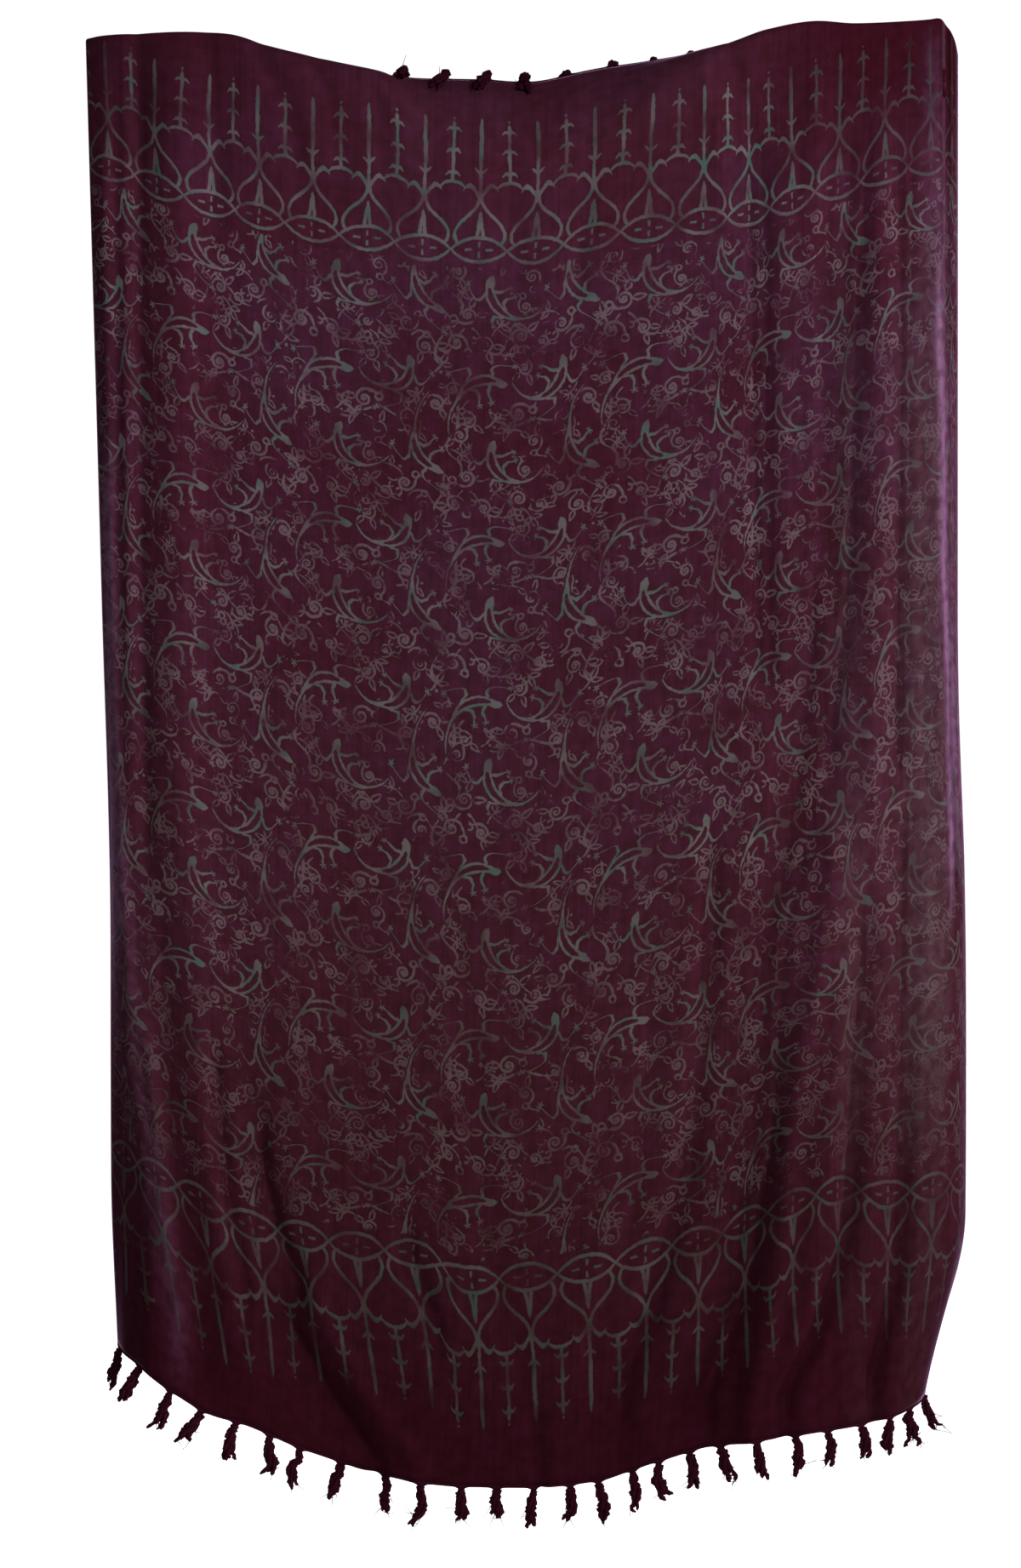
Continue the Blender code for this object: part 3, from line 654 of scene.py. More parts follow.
def placed(places, reach):
    """Where a point is as seen from the nearest of the places on the stamp; reach(place) gives how
    it is seen from one of them, and how far off that is."""
    chosen, nearest = None, None
    for place in places:
        here, distance = reach(place)
        if chosen is None:
            chosen, nearest = here, distance
            continue
        closer = calculate("LESS_THAN", distance, nearest)
        choose = plum_nodes.new("ShaderNodeMix")
        choose.data_type = "VECTOR"
        plum_links.new(closer.socket, choose.inputs["Factor"])
        plum_links.new(chosen, choose.inputs[4])
        plum_links.new(here, choose.inputs[5])
        chosen, nearest = choose.outputs[1], smaller(distance, nearest)
    return split(chosen), nearest


wraps = {}


def wrapped_about(right, down):
    """The place on the stamp, wrapped over the stamp that has its middle at right and down."""
    if (right, down) not in wraps:
        wraps[right, down] = of_vector(
            "WRAP", in_stamp, (right + STAMP_WIDTH / 2, down + STAMP_HEIGHT / 2, 1),
            (right - STAMP_WIDTH / 2, down - STAMP_HEIGHT / 2, 0))
    return wraps[right, down]


def seen_from(near, right, down, heading, scale=(1, 1)):
    """The vector near as seen from a place on the stamp, turned to a heading in degrees."""
    turned = plum_nodes.new("ShaderNodeMapping")
    turned.vector_type = "TEXTURE"
    turned.inputs["Location"].default_value = (right, down, 0)
    turned.inputs["Rotation"].default_value = (0, 0, -math.radians(heading))
    turned.inputs["Scale"].default_value = (*scale, 1)
    plum_links.new(near, turned.inputs["Vector"])
    return turned.outputs["Vector"]


# The geckos: the middle of the body, the way that it heads (anticlockwise from the right, seen
# on the hung cloth), the radius of its bend, which is negative when it bends to its right, and
# how far its legs on one side are ahead of those on the other.
Gecko = namedtuple("Gecko", "right down heading bend stride")
GECKOS = [Gecko(*row) for row in (
    (52, 44, -48, 37, 0.30),
    (132, 44, 112, -32, -0.22),
    (120, 138, 8, -36, 0.12),
    (32, 142, 58, 33, -0.35),
)]
# how far a gecko reaches from the middle of its body; the nearest one is told by these
GECKO_REACH = {"behind": -76.0, "ahead": 34.0, "aside": 27.0}


def bent(gecko):
    """The way along a gecko's bent body and out from it, and how far off it is."""
    near = wrapped_about(gecko.right, gecko.down)
    radius = abs(gecko.bend)
    side = math.copysign(1.0, gecko.bend)
    heading = math.radians(gecko.heading)
    from_centre = seen_from(near, gecko.right - gecko.bend * math.sin(heading),
                            gecko.down - gecko.bend * math.cos(heading), gecko.heading, (1, -side))
    ahead, off, _ = split(from_centre)
    along = calculate("ARCTAN2", ahead, off * -1.0) * radius
    beside = calculate("SUBTRACT", radius, of_vector("LENGTH", from_centre))
    half = (GECKO_REACH["ahead"] - GECKO_REACH["behind"]) / 2
    middle = (GECKO_REACH["ahead"] + GECKO_REACH["behind"]) / 2
    distance = larger(abs(beside) * (1 / GECKO_REACH["aside"]),
                      abs(calculate("MULTIPLY_ADD", along, 1 / half, -middle / half)))
    return join(along, beside, gecko.stride), distance


TOES = 5
FOOT_REACH = 25.0           # out from the body
FORE_FOOT, HIND_FOOT = 22.0, -28.0              # along it
LEGS_PART = -3.0
CROWDED_AT = 36.0           # how far inside the bend the shapes would run together
GECKO_TRIM = 0.3
(along, beside, stride), _ = placed(GECKOS, bent)
# the tail swings back or on, as the legs stride
tail_swing = along.curve((-74, -34), (-60, -18), (-46, -5.5), (-30, 0), (0, 0), (18, 0), (30, -5))
crowding = calculate("MULTIPLY_ADD", beside, -1 / CROWDED_AT, 1.0)
beside = beside - tail_swing * calculate("MULTIPLY_ADD", stride, 1.2, 0.35)
off_line = abs(beside)
body = smaller(
    along.curve((-75, -1), (-72, 0.7), (-56, 1.4), (-40, 2.2), (-28, 4.0), (-16, 5.9), (0, 6.7), (12, 5.0),
                (17, 4.9), (22, 5.0), (27, 3.0), (30, 0.2), (31, -2)) - off_line,
    off_line - along.curve((-31, -6), (-27, 0.3), (-16, 2.3), (0, 3.0), (11, 1.9), (15, 0.0), (17, -6)),
)
strode = calculate("MULTIPLY_ADD", beside, stride, along)
fore_legs = stroke(off_line, strode, ((0, 9), (6, 9), (12, 7), (17, 9), (22, 17), (26, 24)),
                   ((2, -2), (3, 2.5), (9, 2.3), (14, 2.1), (20, 1.9), (25, 1.5), (26, -2)), crowding)
hind_legs = stroke(off_line, strode, ((0, -20), (5, -19), (11, -12), (16, -12), (21, -19), (26, -29)),
                   ((2, -2), (3, 3.0), (8, 2.7), (14, 2.1), (20, 1.8), (25, 1.4), (26, -2)), crowding)
is_fore = calculate("GREATER_THAN", along, LEGS_PART)
foot_along = strode - calculate("MULTIPLY_ADD", is_fore, FORE_FOOT - HIND_FOOT, HIND_FOOT)
foot_out = off_line - FOOT_REACH
foot_along = foot_along * crowding
foot_angle = calculate("ARCTAN2", foot_along, foot_out)
toes = calculate("MULTIPLY_ADD", calculate("COSINE", foot_angle * float(TOES)), 1.7, 2.9)
feet = toes - of_vector("LENGTH", join(foot_along, foot_out))
gecko = larger(body, fore_legs, hind_legs, feet) - GECKO_TRIM

# The vines, as sprigs set into the gaps between the geckos: where each has its curl or its fork,
# the way that its stem leaves, its size, and -1 when it is turned over.
Sprig = namedtuple("Sprig", "right down heading size hand")
CURLED_SPRIGS = [Sprig(*row) for row in (
    (94, 12, 75, 1.00, 1), (104, 62, 215, 1.15, -1), (34, 76, 25, 1.10, 1),
    (54, 102, 100, 1.00, -1), (90, 96, -20, 1.20, -1), (124, 98, 140, 1.00, 1),
    (164, 84, 250, 1.15, 1), (2, 16, -70, 1.00, -1), (66, 168, 160, 1.10, 1),
    (160, 174, 30, 1.20, -1), (104, 186, 110, 0.95, 1), (12, 92, 200, 0.95, -1),
    (84, 150, 20, 0.85, -1), (168, 122, 80, 1.00, 1), (36, 184, 250, 1.00, 1),
    (170, 50, 120, 0.90, -1),
)]
LEAFY_SPRIGS = [Sprig(*row) for row in (
    (82, 78, 100, 1.00, 1), (140, 74, 40, 0.95, 1), (20, 58, 160, 0.90, -1),
    (72, 122, 60, 1.00, -1), (48, 12, 250, 0.90, 1), (148, 2, 190, 1.00, -1),
    (86, 178, 280, 1.00, 1), (134, 182, 60, 0.95, -1), (178, 106, 300, 1.00, 1),
    (44, 160, 220, 0.90, 1), (96, 34, 320, 0.80, 1), (152, 108, 10, 0.80, -1),
)]


def straight_to(sprig):
    """The way ahead of a sprig and to its side, and how far off it is."""
    near = wrapped_about((sprig.right // (STAMP_WIDTH / 2) + 0.5) * STAMP_WIDTH / 2,
                         (sprig.down // (STAMP_HEIGHT / 2) + 0.5) * STAMP_HEIGHT / 2)
    seen = seen_from(near, sprig.right, sprig.down, sprig.heading, (sprig.size, -sprig.hand * sprig.size))
    return seen, of_vector("LENGTH", seen)


LEAF_LINE = 0.85            # half the width of a leaf's outline


def leaf(along_it, beside_it, length, half_width):
    """The outline of a pointed leaf that starts at 0 along_it."""
    edge = along_it.curve((-1.5, -1.5), (0, 0), (0.35 * length, half_width),
                          (0.7 * length, 0.7 * half_width), (length, 0), (length + 1.5, -1.5))
    return LEAF_LINE - abs(abs(beside_it) - edge)


# A curled sprig's arm winds out: how far round it has turned at each radius, and from that the
# width across it of one whole turn, which keeps its line equally wide all the way.
TURNS = ((0.0, -2.20), (1.5, -1.72), (3.2, -1.22), (5.0, -0.82), (7.0, -0.46), (9.0, -0.20),
         (12.0, -0.03), (16.0, 0.02), (24.0, -0.04))
CURL_EYE = 0.6              # least radius that counts in the middle of a curl
spread = []
for place, (r, _) in enumerate(TURNS):
    low, high = TURNS[max(place - 1, 0)], TURNS[min(place + 1, len(TURNS) - 1)]
    steep = 2 * math.pi * max(r, CURL_EYE) * (high[1] - low[1]) / (high[0] - low[0])
    spread.append((r, 2 * math.pi * max(r, CURL_EYE) / math.hypot(1.0, steep)))
(x, y, _), radius = placed(CURLED_SPRIGS, straight_to)
turn = calculate("ARCTAN2", y, x) * (0.5 / math.pi)
phase = calculate("FRACT", turn - radius.curve(*TURNS) + 0.5)
arm = (radius.curve((0, 0.5), (1.2, 1.1), (6, 1.25), (12, 1.15), (20, 1.0), (26, 0.7), (28, -2))
       - abs(phase - 0.5) * radius.curve(*spread))
back, out = x * -1.0, abs(y)
pair = leaf(calculate("MULTIPLY_ADD", back, 0.86, out * 0.50) - 8.0,
            calculate("MULTIPLY_ADD", back, -0.50, out * 0.86) - 1.0, 13.5, 2.7)
hook_way = of_vector("LENGTH", join(x - 14.0, y - 4.6))
hook = smaller(0.95 - abs(hook_way - 3.4), y * 0.9 + x * 0.45 - 5.4)
curled = larger(arm, pair, hook)

(x, y, _), radius = placed(LEAFY_SPRIGS, straight_to)
out = abs(y)
stalk = stroke(x, y, ((-15, -4), (-9, -1), (0, 0)), ((-17, -2), (-15, 0.8), (-6, 1.0), (2, 1.0), (5, -2)))
ahead_leaf = leaf(x - 3.0, y, 14.5, 2.8)
side_leaves = leaf(calculate("MULTIPLY_ADD", x, 0.5, out * 0.86) - 1.0,
                   calculate("MULTIPLY_ADD", x, 0.86, out * -0.5), 13.0, 2.5)
bud = 1.6 - of_vector("LENGTH", join(x + 8.0, y - 4.0))
leafy = larger(stalk, ahead_leaf, side_leaves, bud)

# long thin stems wander across the stamp and down it, with gaps
STEM_SLANT = 0.7            # evens out their width where they run aslant
right, low, _ = split(in_stamp)
stems = larger(
    stroke(right, low,
           ((0, 84), (24, 98), (50, 84), (78, 106), (104, 78), (136, 108), (160, 70), (177, 84)),
           ((0, 0.8), (20, 0.9), (26, -2), (34, -2), (40, 0.9), (98, 0.9), (104, -2), (110, 0.9),
            (177, 0.8)), STEM_SLANT),
    stroke(right, low, ((0, 180), (30, 188), (60, 166), (92, 190), (128, 174), (150, 189), (177, 180)),
           ((0, 0.9), (48, 0.9), (54, -2), (64, 0.9), (110, 0.9), (118, -2), (130, 0.9), (177, 0.9)),
           STEM_SLANT),
    stroke(low, right, ((0, 92), (26, 80), (52, 98), (80, 80), (110, 66), (140, 86), (191, 92)),
           ((0, 0.9), (60, 0.9), (66, -2), (76, 0.9), (120, 0.9), (128, -2), (140, 0.9), (191, 0.9)),
           STEM_SLANT),
)
# in places the wax has hardly taken, and no vine comes close to a gecko
GECKO_CLEARANCE = 2.2
vines = larger(curled, leafy, stems)
missed = noise(of_vector("ADD", flat_mm, (70, 330, 0)), 30.0)
missed = missed.curve((0.32, -1.4), (0.42, -0.35), (0.52, 0.12), (0.64, 0.3))
vines = vines + missed
stamped = larger(gecko, smaller(vines, -GECKO_CLEARANCE - gecko))

# ---- the field stops at both borders; wear breaks up the lines
FIELD_EDGE = 176.0
BORDER_THICKER = 0.40
FRAYING = 2.2
SHARPNESS = 1.1             # how fast a line comes in over a millimetre
field = smaller(stamped, (d - FIELD_EDGE) * 0.35)
drawn = larger(field, border + BORDER_THICKER)
frayed = calculate("MULTIPLY_ADD", noise(wandered, 5.0), FRAYING, -1.15)
lines = calculate("MULTIPLY_ADD", drawn + frayed, SHARPNESS, 0.5, clamp=True)

# ---- colours: the plum goes on unevenly, and the greys of the lines with it; painted light and shade lie over them in places
WEAKEST_STAMP = 0.70        # strength of the weakest stamp against the strongest
strength = noise(flat_mm, 46.0).curve((0.30, 0.28), (0.46, 0.72), (0.62, 1.10))
each_stamp = plum_nodes.new("ShaderNodeTexWhiteNoise")
each_stamp.noise_dimensions = "2D"
plum_links.new(of_vector("FLOOR", of_vector("DIVIDE", on_stamps, (STAMP_WIDTH, STAMP_HEIGHT, 1))),
               each_stamp.inputs["Vector"])
strength = strength * across.curve((820, 1.0), (930, 0.76)) * down.curve((900, 1.0), (1250, 0.88))
strength = strength * calculate("MULTIPLY_ADD", Value(each_stamp.outputs["Value"]),
                                1 - WEAKEST_STAMP, WEAKEST_STAMP)
in_field = calculate("GREATER_THAN", d, FIELD_EDGE)
is_gecko = calculate("MULTIPLY_ADD", gecko, 0.5, 1.0, clamp=True) * in_field
is_bold = larger(is_gecko, calculate("LESS_THAN", d, FIELD_EDGE))


def blend(share, first, second):
    """A colour between two; share, 0 to 1, is a Value or a number."""
    node = plum_nodes.new("ShaderNodeMix")
    node.data_type = "RGBA"
    connect(node, share)
    for slot, color in ((node.inputs[6], first), (node.inputs[7], second)):
        if isinstance(color, bpy.types.NodeSocket):
            plum_links.new(color, slot)
        else:
            slot.default_value = (*color, 1)
    return node.outputs[2]


PLUM = (0.0490, 0.0123, 0.0264)
DEEP_PLUM = (0.0455, 0.0094, 0.0184)
WINE = (0.0448, 0.0112, 0.0168)
# the dark plum of the painted shade at the upper corners and the hem
SHADED_HEM_PLUM = (0.0258, 0.0036, 0.0073)
# the paler violet of the painted highlight along the side crests
CREST_HIGHLIGHT_PLUM = (0.200, 0.092, 0.182)
LINE_GREY = (0.111, 0.102, 0.102)
LINE_PINK = (0.134, 0.104, 0.113)
LINE_TEAL = (0.058, 0.094, 0.083)
ground = blend(noise(flat_mm, 190.0).curve((0.35, 0.0), (0.65, 1.0)), DEEP_PLUM, PLUM)
ground = blend(down.curve((500, 0.0), (1250, 0.85)), ground, WINE)
# painted shade: the ground is darker at the upper corners and towards the hem, where less light falls
shaded_corners = across.curve((0, 0.62), (260, 0.30), (480, 0.0), (760, 0.0), (880, 0.75), (1000, 1.15),
                       (1150, 1.15))
painted_shade = (shaded_corners * down.curve((0, 1.0), (110, 0.85), (240, 0.0))
          + down.curve((950, 0), (1250, 0.22), (1400, 0.48), (1500, 0.68), (1600, 0.92)))
ground = blend(painted_shade, ground, SHADED_HEM_PLUM)
# it clouds from plum to brown and the uneven yarns show as streaks; painted light brightens the top band,
# and painted shade darkens two narrow bands down the cloth
CLOUD_BROWN = (0.88, 0.92, 0.80)
CLOUD_VIOLET = (1.10, 1.10, 1.20)
clouds = noise(of_vector("ADD", flat_mm, (210, 40, 0)), 16.0, 3.0)
tint = blend(clouds.curve((0.35, 0.0), (0.65, 1.0)), CLOUD_BROWN, CLOUD_VIOLET)
ground = of_vector("MULTIPLY", ground, tint)
warp_streaks = noise(of_vector("MULTIPLY", flat_mm, (1.0, 0.03, 1)), 4.5)
weft_streaks = noise(of_vector("MULTIPLY", flat_mm, (0.04, 1.0, 1)), 3.5, 1.0)
streaks = warp_streaks.curve((0.30, 0.91), (0.70, 1.09)) * weft_streaks.curve((0.30, 0.97), (0.70, 1.03))
# painted light at the top band where the cloth leans back, and painted shade in two bands down the cloth
# over its folds
painted_light_and_shade = (down.curve((60, 1.14), (320, 1.0))
         * across.curve((60, 1.0), (100, 1.06), (135, 1.0), (175, 0.87), (220, 0.91), (300, 1.0),
                        (760, 1.0), (800, 0.93), (850, 1.0)))
ground = of_vector("SCALE", ground, streaks * painted_light_and_shade)
# painted highlight: the colour is paler and more violet along the sharp crests at both sides, where they
# fold away and catch the light
crest_highlight = plum_nodes.new("ShaderNodeAttribute")
crest_highlight.attribute_name = "crest_highlight"
crest_highlight = Value(crest_highlight.outputs["Fac"]) * clouds.curve((0.35, 0.55), (0.65, 1.35))
ground = blend(crest_highlight, ground, CREST_HIGHLIGHT_PLUM)
# painted sheen: the ground is blended paler and greyer over its right side, where its folds catch the
# light
painted_sheen = (across.curve((915, 0), (943, 0.06), (975, 0.02), (1000, 0.03), (1035, 0.12), (1063, 0.13),
                      (1085, 0.04), (1110, 0.0))
         * down.curve((230, 0.0), (430, 0.8), (560, 1.0), (1240, 1.0), (1400, 0.3)))
ground = blend(painted_sheen * clouds.curve((0.35, 0.6), (0.65, 1.4)), ground, LINE_GREY)
# thick lines turn teal in patches, thin ones are pinker, and all brown towards the hem
BROWNED = (0.90, 0.91, 0.80)
teal = noise(of_vector("ADD", flat_mm, (400, 90, 0)), 30.0).curve((0.47, 0.0), (0.63, 0.90))
line_color = blend(is_bold, LINE_PINK, blend(teal, LINE_GREY, LINE_TEAL))
# the lines are darkened by the same painted shade at the upper corners and the hem
line_color = of_vector("SCALE", line_color, calculate("MULTIPLY_ADD", painted_shade, -0.62, 1.0))
browning = blend(down.curve((300, 0.0), (1350, 1.0)), (1, 1, 1), BROWNED)
line_color = of_vector("MULTIPLY", line_color, browning)
cover = calculate("MULTIPLY_ADD", is_bold, 0.20, 0.75)
dyed = blend(lines * strength * cover, ground, line_color)
plum_links.new(dyed, plum_nodes["Principled BSDF"].inputs["Base Color"])

# ======================================================================== the woven finish
# Plain-woven viscose rayon: soft, a little glossy along its warp, and it lights up violet where
# it turns away.

shader = plum_nodes["Principled BSDF"]
shader.inputs["Roughness"].default_value = 0.50
shader.inputs["Specular IOR Level"].default_value = 0.0
shader.inputs["Sheen Weight"].default_value = 0.50
shader.inputs["Sheen Roughness"].default_value = 0.22
shader.inputs["Sheen Tint"].default_value = (0.84, 0.46, 0.86, 1)
cloth.data.materials.append(plum)
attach(cloth, "root")
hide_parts("cloth_panel")

# ======================================================================== fringes
# The loose warp ends of both cut edges, knotted against a narrow edge of tight picks and twisted
# by hand into tassels.  Each tassel is five crimped strands that part and fray at the end.

EDGE_LAP = 0.0012           # of the narrow edge round the edge of the cloth
EDGE_HEIGHT = 0.0018        # of the narrow edge between two tassels
EDGE_THICKNESS = 0.0012
KNOT_DROP = 0.0060          # how far a knot draws the edge out
KNOT_DRAW = 0.0075          # half width of the edge that it draws with it
EDGE_COLUMNS = 480
STRANDS = 5
STRAND_SIDES = 6
STRAND_RINGS = 16
WISP_SIDES = 4
WISP_RINGS = 5

# The tassels: place across, lean to the right in degrees, length, how far the middle bows out to
# the right, and whether it falls forward over the top edge.
Tassel = namedtuple("Tassel", "across lean length bow in_front", defaults=(0.0, False))
BOTTOM_TASSELS = [Tassel(*row) for row in (
    (0.006, -20, 0.052, -0.005), (0.070, -30, 0.046, -0.007), (0.130, -21, 0.045, -0.003),
    (0.176, -36, 0.042, -0.006), (0.222, -12, 0.045, -0.004), (0.262, 5, 0.044, 0.001),
    (0.297, -5, 0.048, -0.007), (0.343, -21, 0.042, -0.003), (0.393, -2, 0.049, 0.002),
    (0.434, -15, 0.050, 0.003), (0.479, -5, 0.043, 0.002), (0.519, -4, 0.039, 0.002),
    (0.563, 0, 0.048, -0.003), (0.607, -11, 0.041, 0.003), (0.642, 6, 0.046, 0.005),
    (0.685, 7, 0.047, 0.003), (0.717, 20, 0.044, -0.004), (0.754, 9, 0.043, 0.003),
    (0.789, 24, 0.042, 0.002), (0.830, 12, 0.046, 0.003), (0.876, 5, 0.044, 0.004),
    (0.915, 1, 0.042, 0.003), (0.958, 8, 0.038, 0.004), (1.003, -2, 0.045, -0.002),
    (1.048, 5, 0.042, 0.003), (1.110, 31, 0.043, 0.004),
)]
TOP_TASSELS = [Tassel(*row) for row in (
    (0.020, 3, 0.046), (0.064, -4, 0.044, 0.003), (0.110, 6, 0.048), (0.155, 2, 0.045),
    (0.202, -6, 0.043, -0.003), (0.250, 4, 0.046), (0.296, -3, 0.044, 0.004), (0.342, 7, 0.047),
    (0.390, -12, 0.040, -0.003, True), (0.434, -24, 0.044, 0.003, True), (0.484, -22, 0.043, 0.0, True),
    (0.527, 2, 0.045, 0.001, True), (0.578, -20, 0.044), (0.626, 16, 0.045, 0.003), (0.674, 6, 0.046),
    (0.720, -5, 0.044, -0.003), (0.766, 4, 0.046), (0.811, -2, 0.043), (0.857, 5, 0.047, 0.004),
    (0.902, -6, 0.045), (0.948, 3, 0.044, -0.003), (0.992, 5, 0.046), (1.037, -3, 0.044),
    (1.082, 4, 0.045, 0.003), (1.126, -4, 0.043),
)]


def unit(vectors):
    return vectors / np.linalg.norm(vectors, axis=-1, keepdims=True)


def edge_frames(across, down, outward_sign):
    """Points on an edge with the ways along it to the right, out of the cloth and to the front."""
    across = np.atleast_1d(across).astype(float)
    down = np.full_like(across, down)
    step = 0.001
    place = cloth_points(across, down)
    along = unit(cloth_points(across + step, down) - cloth_points(across - step, down))
    outward = unit(cloth_points(across, down + outward_sign * step) - place)
    front = -outward_sign * unit(np.cross(along, outward))
    return place, along, outward, front


def make_edge(tassels, near_edge, outward_sign):
    """The narrow edge: a thickened strip that dips into a small cone above every knot."""
    bm = bmesh.new()
    bmesh.ops.create_grid(bm, x_segments=EDGE_COLUMNS, y_segments=5, size=0.5)
    local = np.array([vert.co[:2] for vert in bm.verts])
    across = CLOTH_WIDTH * (local[:, 0] + 0.5)
    knots = np.array([tassel.across for tassel in tassels])
    from_knot = np.abs(across[:, None] - knots).min(axis=1)
    height = EDGE_HEIGHT + KNOT_DROP * np.exp(-(from_knot / (KNOT_DRAW / 2)) ** 1.4)
    share = 0.5 - local[:, 1]
    places = cloth_points(across, near_edge + outward_sign * (share * (height + EDGE_LAP) - EDGE_LAP))
    for vert, place in zip(bm.verts, places):
        vert.co = place
    if outward_sign < 0:
        bmesh.ops.reverse_faces(bm, faces=bm.faces)
    bm.normal_update()
    for vert in bm.verts:
        vert.co = vert.co + vert.normal * EDGE_THICKNESS / 2
    bmesh.ops.solidify(bm, geom=bm.faces, thickness=EDGE_THICKNESS)
    return bm


def make_rod(name, sides, rings):
    """A round rod one long and of radius one, cut across into rings."""
    bm = bmesh.new()
    bmesh.ops.create_cone(bm, segments=sides, radius1=1.0, radius2=1.0, depth=1.0, cap_ends=True)
    bmesh.ops.translate(bm, verts=bm.verts, vec=(0, 0, 0.5))
    long_edges = [edge for edge in bm.edges if abs(edge.verts[0].co.z - edge.verts[1].co.z) > 0.5]
    bmesh.ops.subdivide_edges(bm, edges=long_edges, cuts=rings - 1)
    mesh = bpy.data.meshes.new(name)
    bm.to_mesh(mesh)
    bm.free()
    return mesh


ASKEW = (0.31, 0.93, 0.17)  # a way that no tassel runs in


def ways_along(line):
    """At each of a line's points, the way along it and two ways out from it."""
    tangents = unit(np.gradient(line, axis=0))
    aside = unit(np.cross(tangents, ASKEW))
    return tangents, aside, np.cross(tangents, aside)


def part_way(rows, share):
    """What rows that go with a line's points give at shares of the way along it."""
    stops = np.linspace(0.0, 1.0, len(rows))
    return np.stack([np.interp(share, stops, column) for column in rows.T], axis=1)


def lay_rod(bm, rod, line, radii):
    """Add a rod that follows a line of points, with a radius at each of them."""
    first = len(bm.verts)
    bm.from_mesh(rod)
    bm.verts.ensure_lookup_table()
    verts = bm.verts[first:]
    local = np.array([vert.co[:] for vert in verts])
    share = local[:, 2]
    _, aside, across = ways_along(line)
    out = part_way(aside, share) * local[:, :1] + part_way(across, share) * local[:, 1:2]
    places = part_way(line, share) + out * part_way(np.reshape(radii, (-1, 1)), share)
    for vert, place in zip(verts, places):
        vert.co = place


LINE_STEPS = 40
TURNING_DOWN = 2.2          # how soon a tassel turns down: by 1 / 2.2 of its length


def hanging_line(tassel, near_edge, outward_sign):
    """A tassel's middle line, which leaves the edge straight out and turns down by its weight."""
    frames = edge_frames(tassel.across, near_edge, outward_sign)
    place, along, outward, _ = (rows[0] for rows in frames)
    lean = math.radians(tassel.lean)
    hang = np.array((math.sin(lean), 0.0, -math.cos(lean)))
    share = (np.arange(LINE_STEPS) + 0.5) / LINE_STEPS
    ease = np.minimum(share * TURNING_DOWN, 1.0)[:, None]
    steps = unit(outward * (1 - ease) + hang * ease) * tassel.length / LINE_STEPS
    root = place + outward * KNOT_DROP * 0.8
    line = root + np.concatenate(([np.zeros(3)], np.cumsum(steps, axis=0)))
    bow = np.sin(np.pi * np.linspace(0, 1, LINE_STEPS + 1)) * tassel.bow
    return line + bow[:, None] * along


TURN_OVER = 0.011           # the length in which a forward tassel turns over
CLEAR_OF_CLOTH = 0.0062     # of its middle line, where it lies in front


def forward_line(tassel, near_edge):
    """A middle line that stands up out of the top edge, turns over and lies down in front."""
    run = np.linspace(0.0, tassel.length, LINE_STEPS + 1)
    past_turn = np.maximum(run - TURN_OVER, 0.0)
    turn = np.minimum(run / TURN_OVER, 1.0) * math.pi
    lean = math.sin(math.radians(tassel.lean))
    far_edge = near_edge - KNOT_DROP * 0.3
    down = far_edge - np.sin(turn) * TURN_OVER / math.pi + past_turn
    across = tassel.across + lean * past_turn + tassel.bow * np.sin(math.pi * run / tassel.length)
    front = edge_frames(tassel.across, 0.0, -1.0)[3]
    return cloth_points(across, down) + front * (CLEAR_OF_CLOTH * (1 - np.cos(turn)) / 2)[:, None]


KINK = 0.0018               # how far a tassel strays from its line
THREAD_ROOT, THREAD_TIP = 0.0006, 0.0002        # radii of a wisp
MILLIMETRE = 0.001


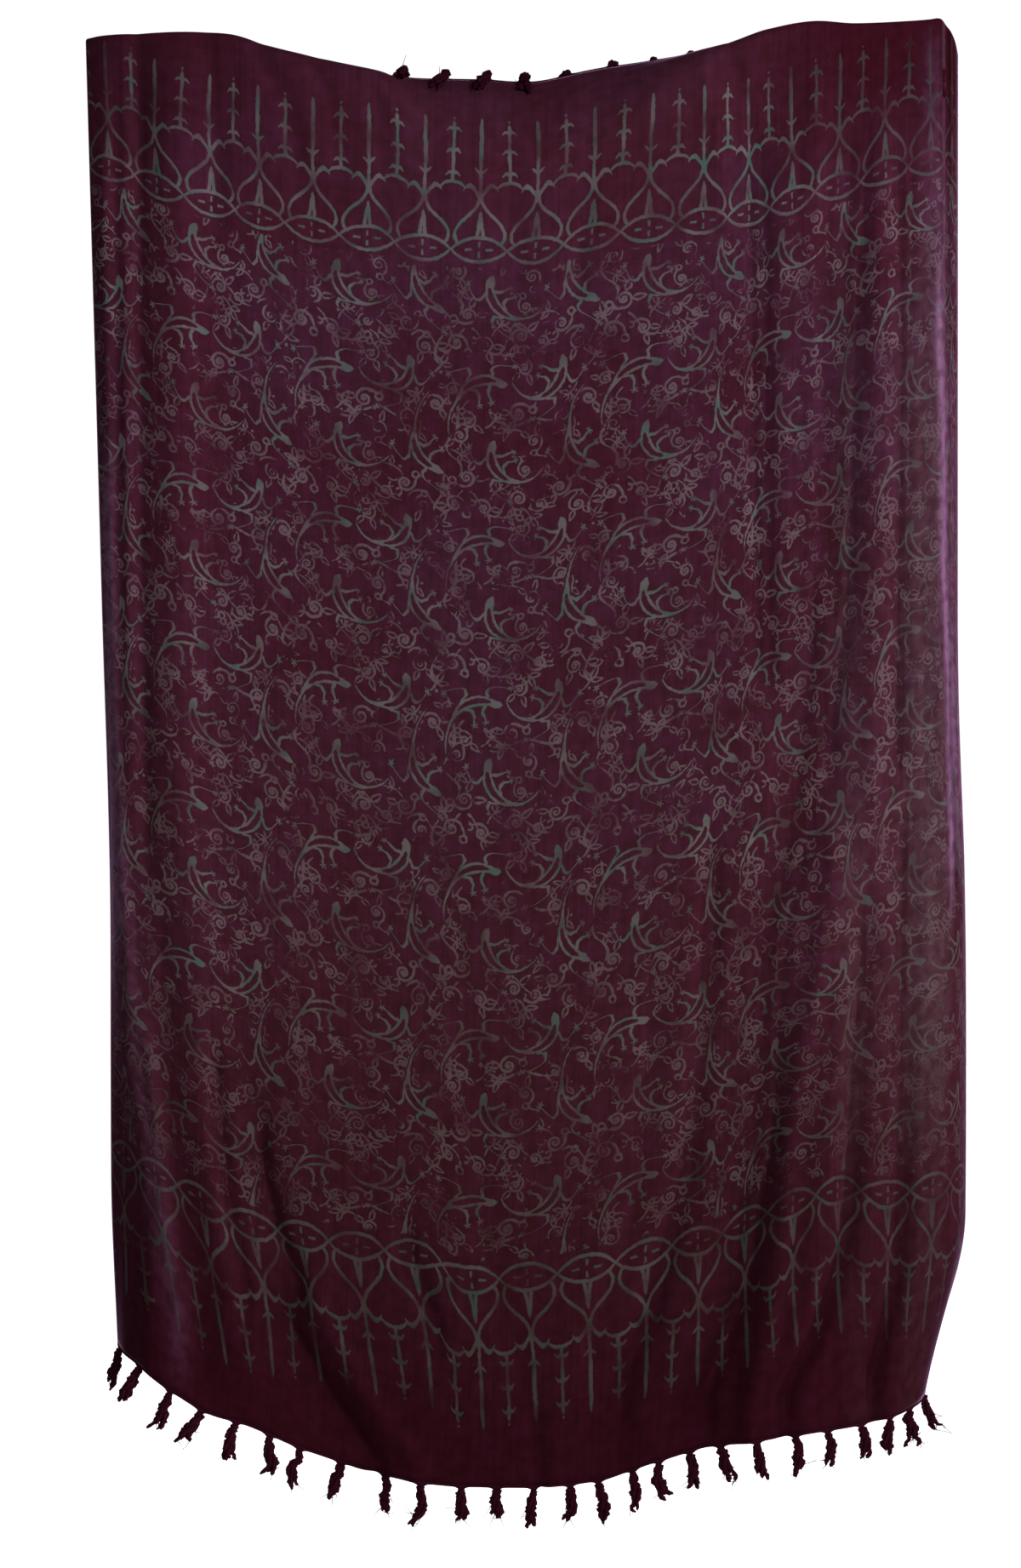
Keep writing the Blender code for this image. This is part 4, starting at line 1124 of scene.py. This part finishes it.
def add_tassel(bm, line, luck):
    """Five strands wound round the tassel's line, a wrapped neck, and wisps from their ends."""
    share = np.linspace(0.0, 1.0, STRAND_RINGS + 1)
    tangents, aside, across = ways_along(part_way(line, share))
    fullness = luck.uniform(1.12, 1.42)
    flatness = luck.uniform(0.55, 0.8)
    twist = luck.uniform(2.6, 4.2)
    start = luck.uniform(0, 6.28)
    parts = luck.choice((0.1, 0.4, 0.8, 1.2))
    kinks = np.interp(share, np.linspace(0, 1, 6), KINK * np.append(0, luck.normal(0, 1, 5)))
    for strand in range(STRANDS):
        reach = luck.uniform(0.68, 1.0)
        own = share * reach
        centre = part_way(line, own) + np.interp(own, share, kinks)[:, None] * aside
        out = np.interp(own, (0, 0.08, 0.22, 0.5, 0.8, 1.0), (1.8, 2.0, 2.6, 3.4, 3.5, 3.2 + 1.6 * parts))
        parted = (1 if strand % 2 else -1) * parts * np.maximum(own - 0.66, 0.0) * 9.0
        wind = start + strand * 2 * math.pi / STRANDS + twist * own * (1 - 0.25 * own)
        crimp = luck.normal(0, 0.75, STRAND_RINGS + 1)
        off_x = (out + crimp) * np.cos(wind) + parted
        off_y = (out + crimp) * np.sin(wind) * flatness
        path = centre + MILLIMETRE * fullness * (off_x[:, None] * aside + off_y[:, None] * across)
        radii = np.interp(share, (0, 0.1, 0.35, 0.85, 0.97, 1.0), (1.9, 2.0, 2.2, 2.2, 1.9, 1.0))
        radii = MILLIMETRE * fullness * radii * luck.uniform(0.72, 1.28, STRAND_RINGS + 1)
        lay_rod(bm, strand_rod, path, radii)
        for wisp in range(3 if strand else 2):
            root = path[luck.integers(STRAND_RINGS // 2, STRAND_RINGS + 1)]
            way = unit(tangents[-1] + luck.normal(0, 0.85, 3) * (1, 0.5, 1))
            curl = luck.normal(0, 0.4, 3)
            length = luck.uniform(0.005, 0.014)
            steps = np.linspace(0, 1, WISP_RINGS + 1)[:, None]
            stray = root + length * (way * steps + curl * steps**2)
            lay_rod(bm, wisp_rod, stray, np.linspace(THREAD_ROOT, THREAD_TIP, WISP_RINGS + 1))
    neck = part_way(line, np.linspace(0.0, 0.10, 5))
    lay_rod(bm, wisp_rod, neck, MILLIMETRE * fullness * np.array((3.0, 3.4, 3.4, 3.2, 2.6)))


def make_fringe(name, tassels, near_edge, outward_sign, seed):
    bm = make_edge(tassels, near_edge, outward_sign)
    luck = np.random.default_rng(seed)
    for tassel in tassels:
        line = (forward_line(tassel, near_edge) if tassel.in_front
                else hanging_line(tassel, near_edge, outward_sign))
        add_tassel(bm, line, luck)
    fringe = add_piece(name, bm)
    fringe.data.shade_smooth()
    return fringe


strand_rod = make_rod("strand", STRAND_SIDES, STRAND_RINGS)
wisp_rod = make_rod("wisp", WISP_SIDES, WISP_RINGS)

yarn = bpy.data.materials.new("plum_yarn")
yarn.use_nodes = True
yarn_shader = yarn.node_tree.nodes["Principled BSDF"]
yarn_shader.inputs["Base Color"].default_value = (0.026, 0.0040, 0.0100, 1)
yarn_shader.inputs["Specular IOR Level"].default_value = 0.0
yarn_shader.inputs["Roughness"].default_value = 0.8

bottom_fringe = make_fringe("hem_tassels", BOTTOM_TASSELS, CLOTH_LENGTH, 1.0, 11)
top_fringe = make_fringe("top_tassels", TOP_TASSELS, 0.0, -1.0, 7)
for fringe, node in ((bottom_fringe, "bottom_fringe"), (top_fringe, "top_fringe")):
    fringe.data.materials.append(yarn)
    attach(fringe, "root")
    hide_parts(node)
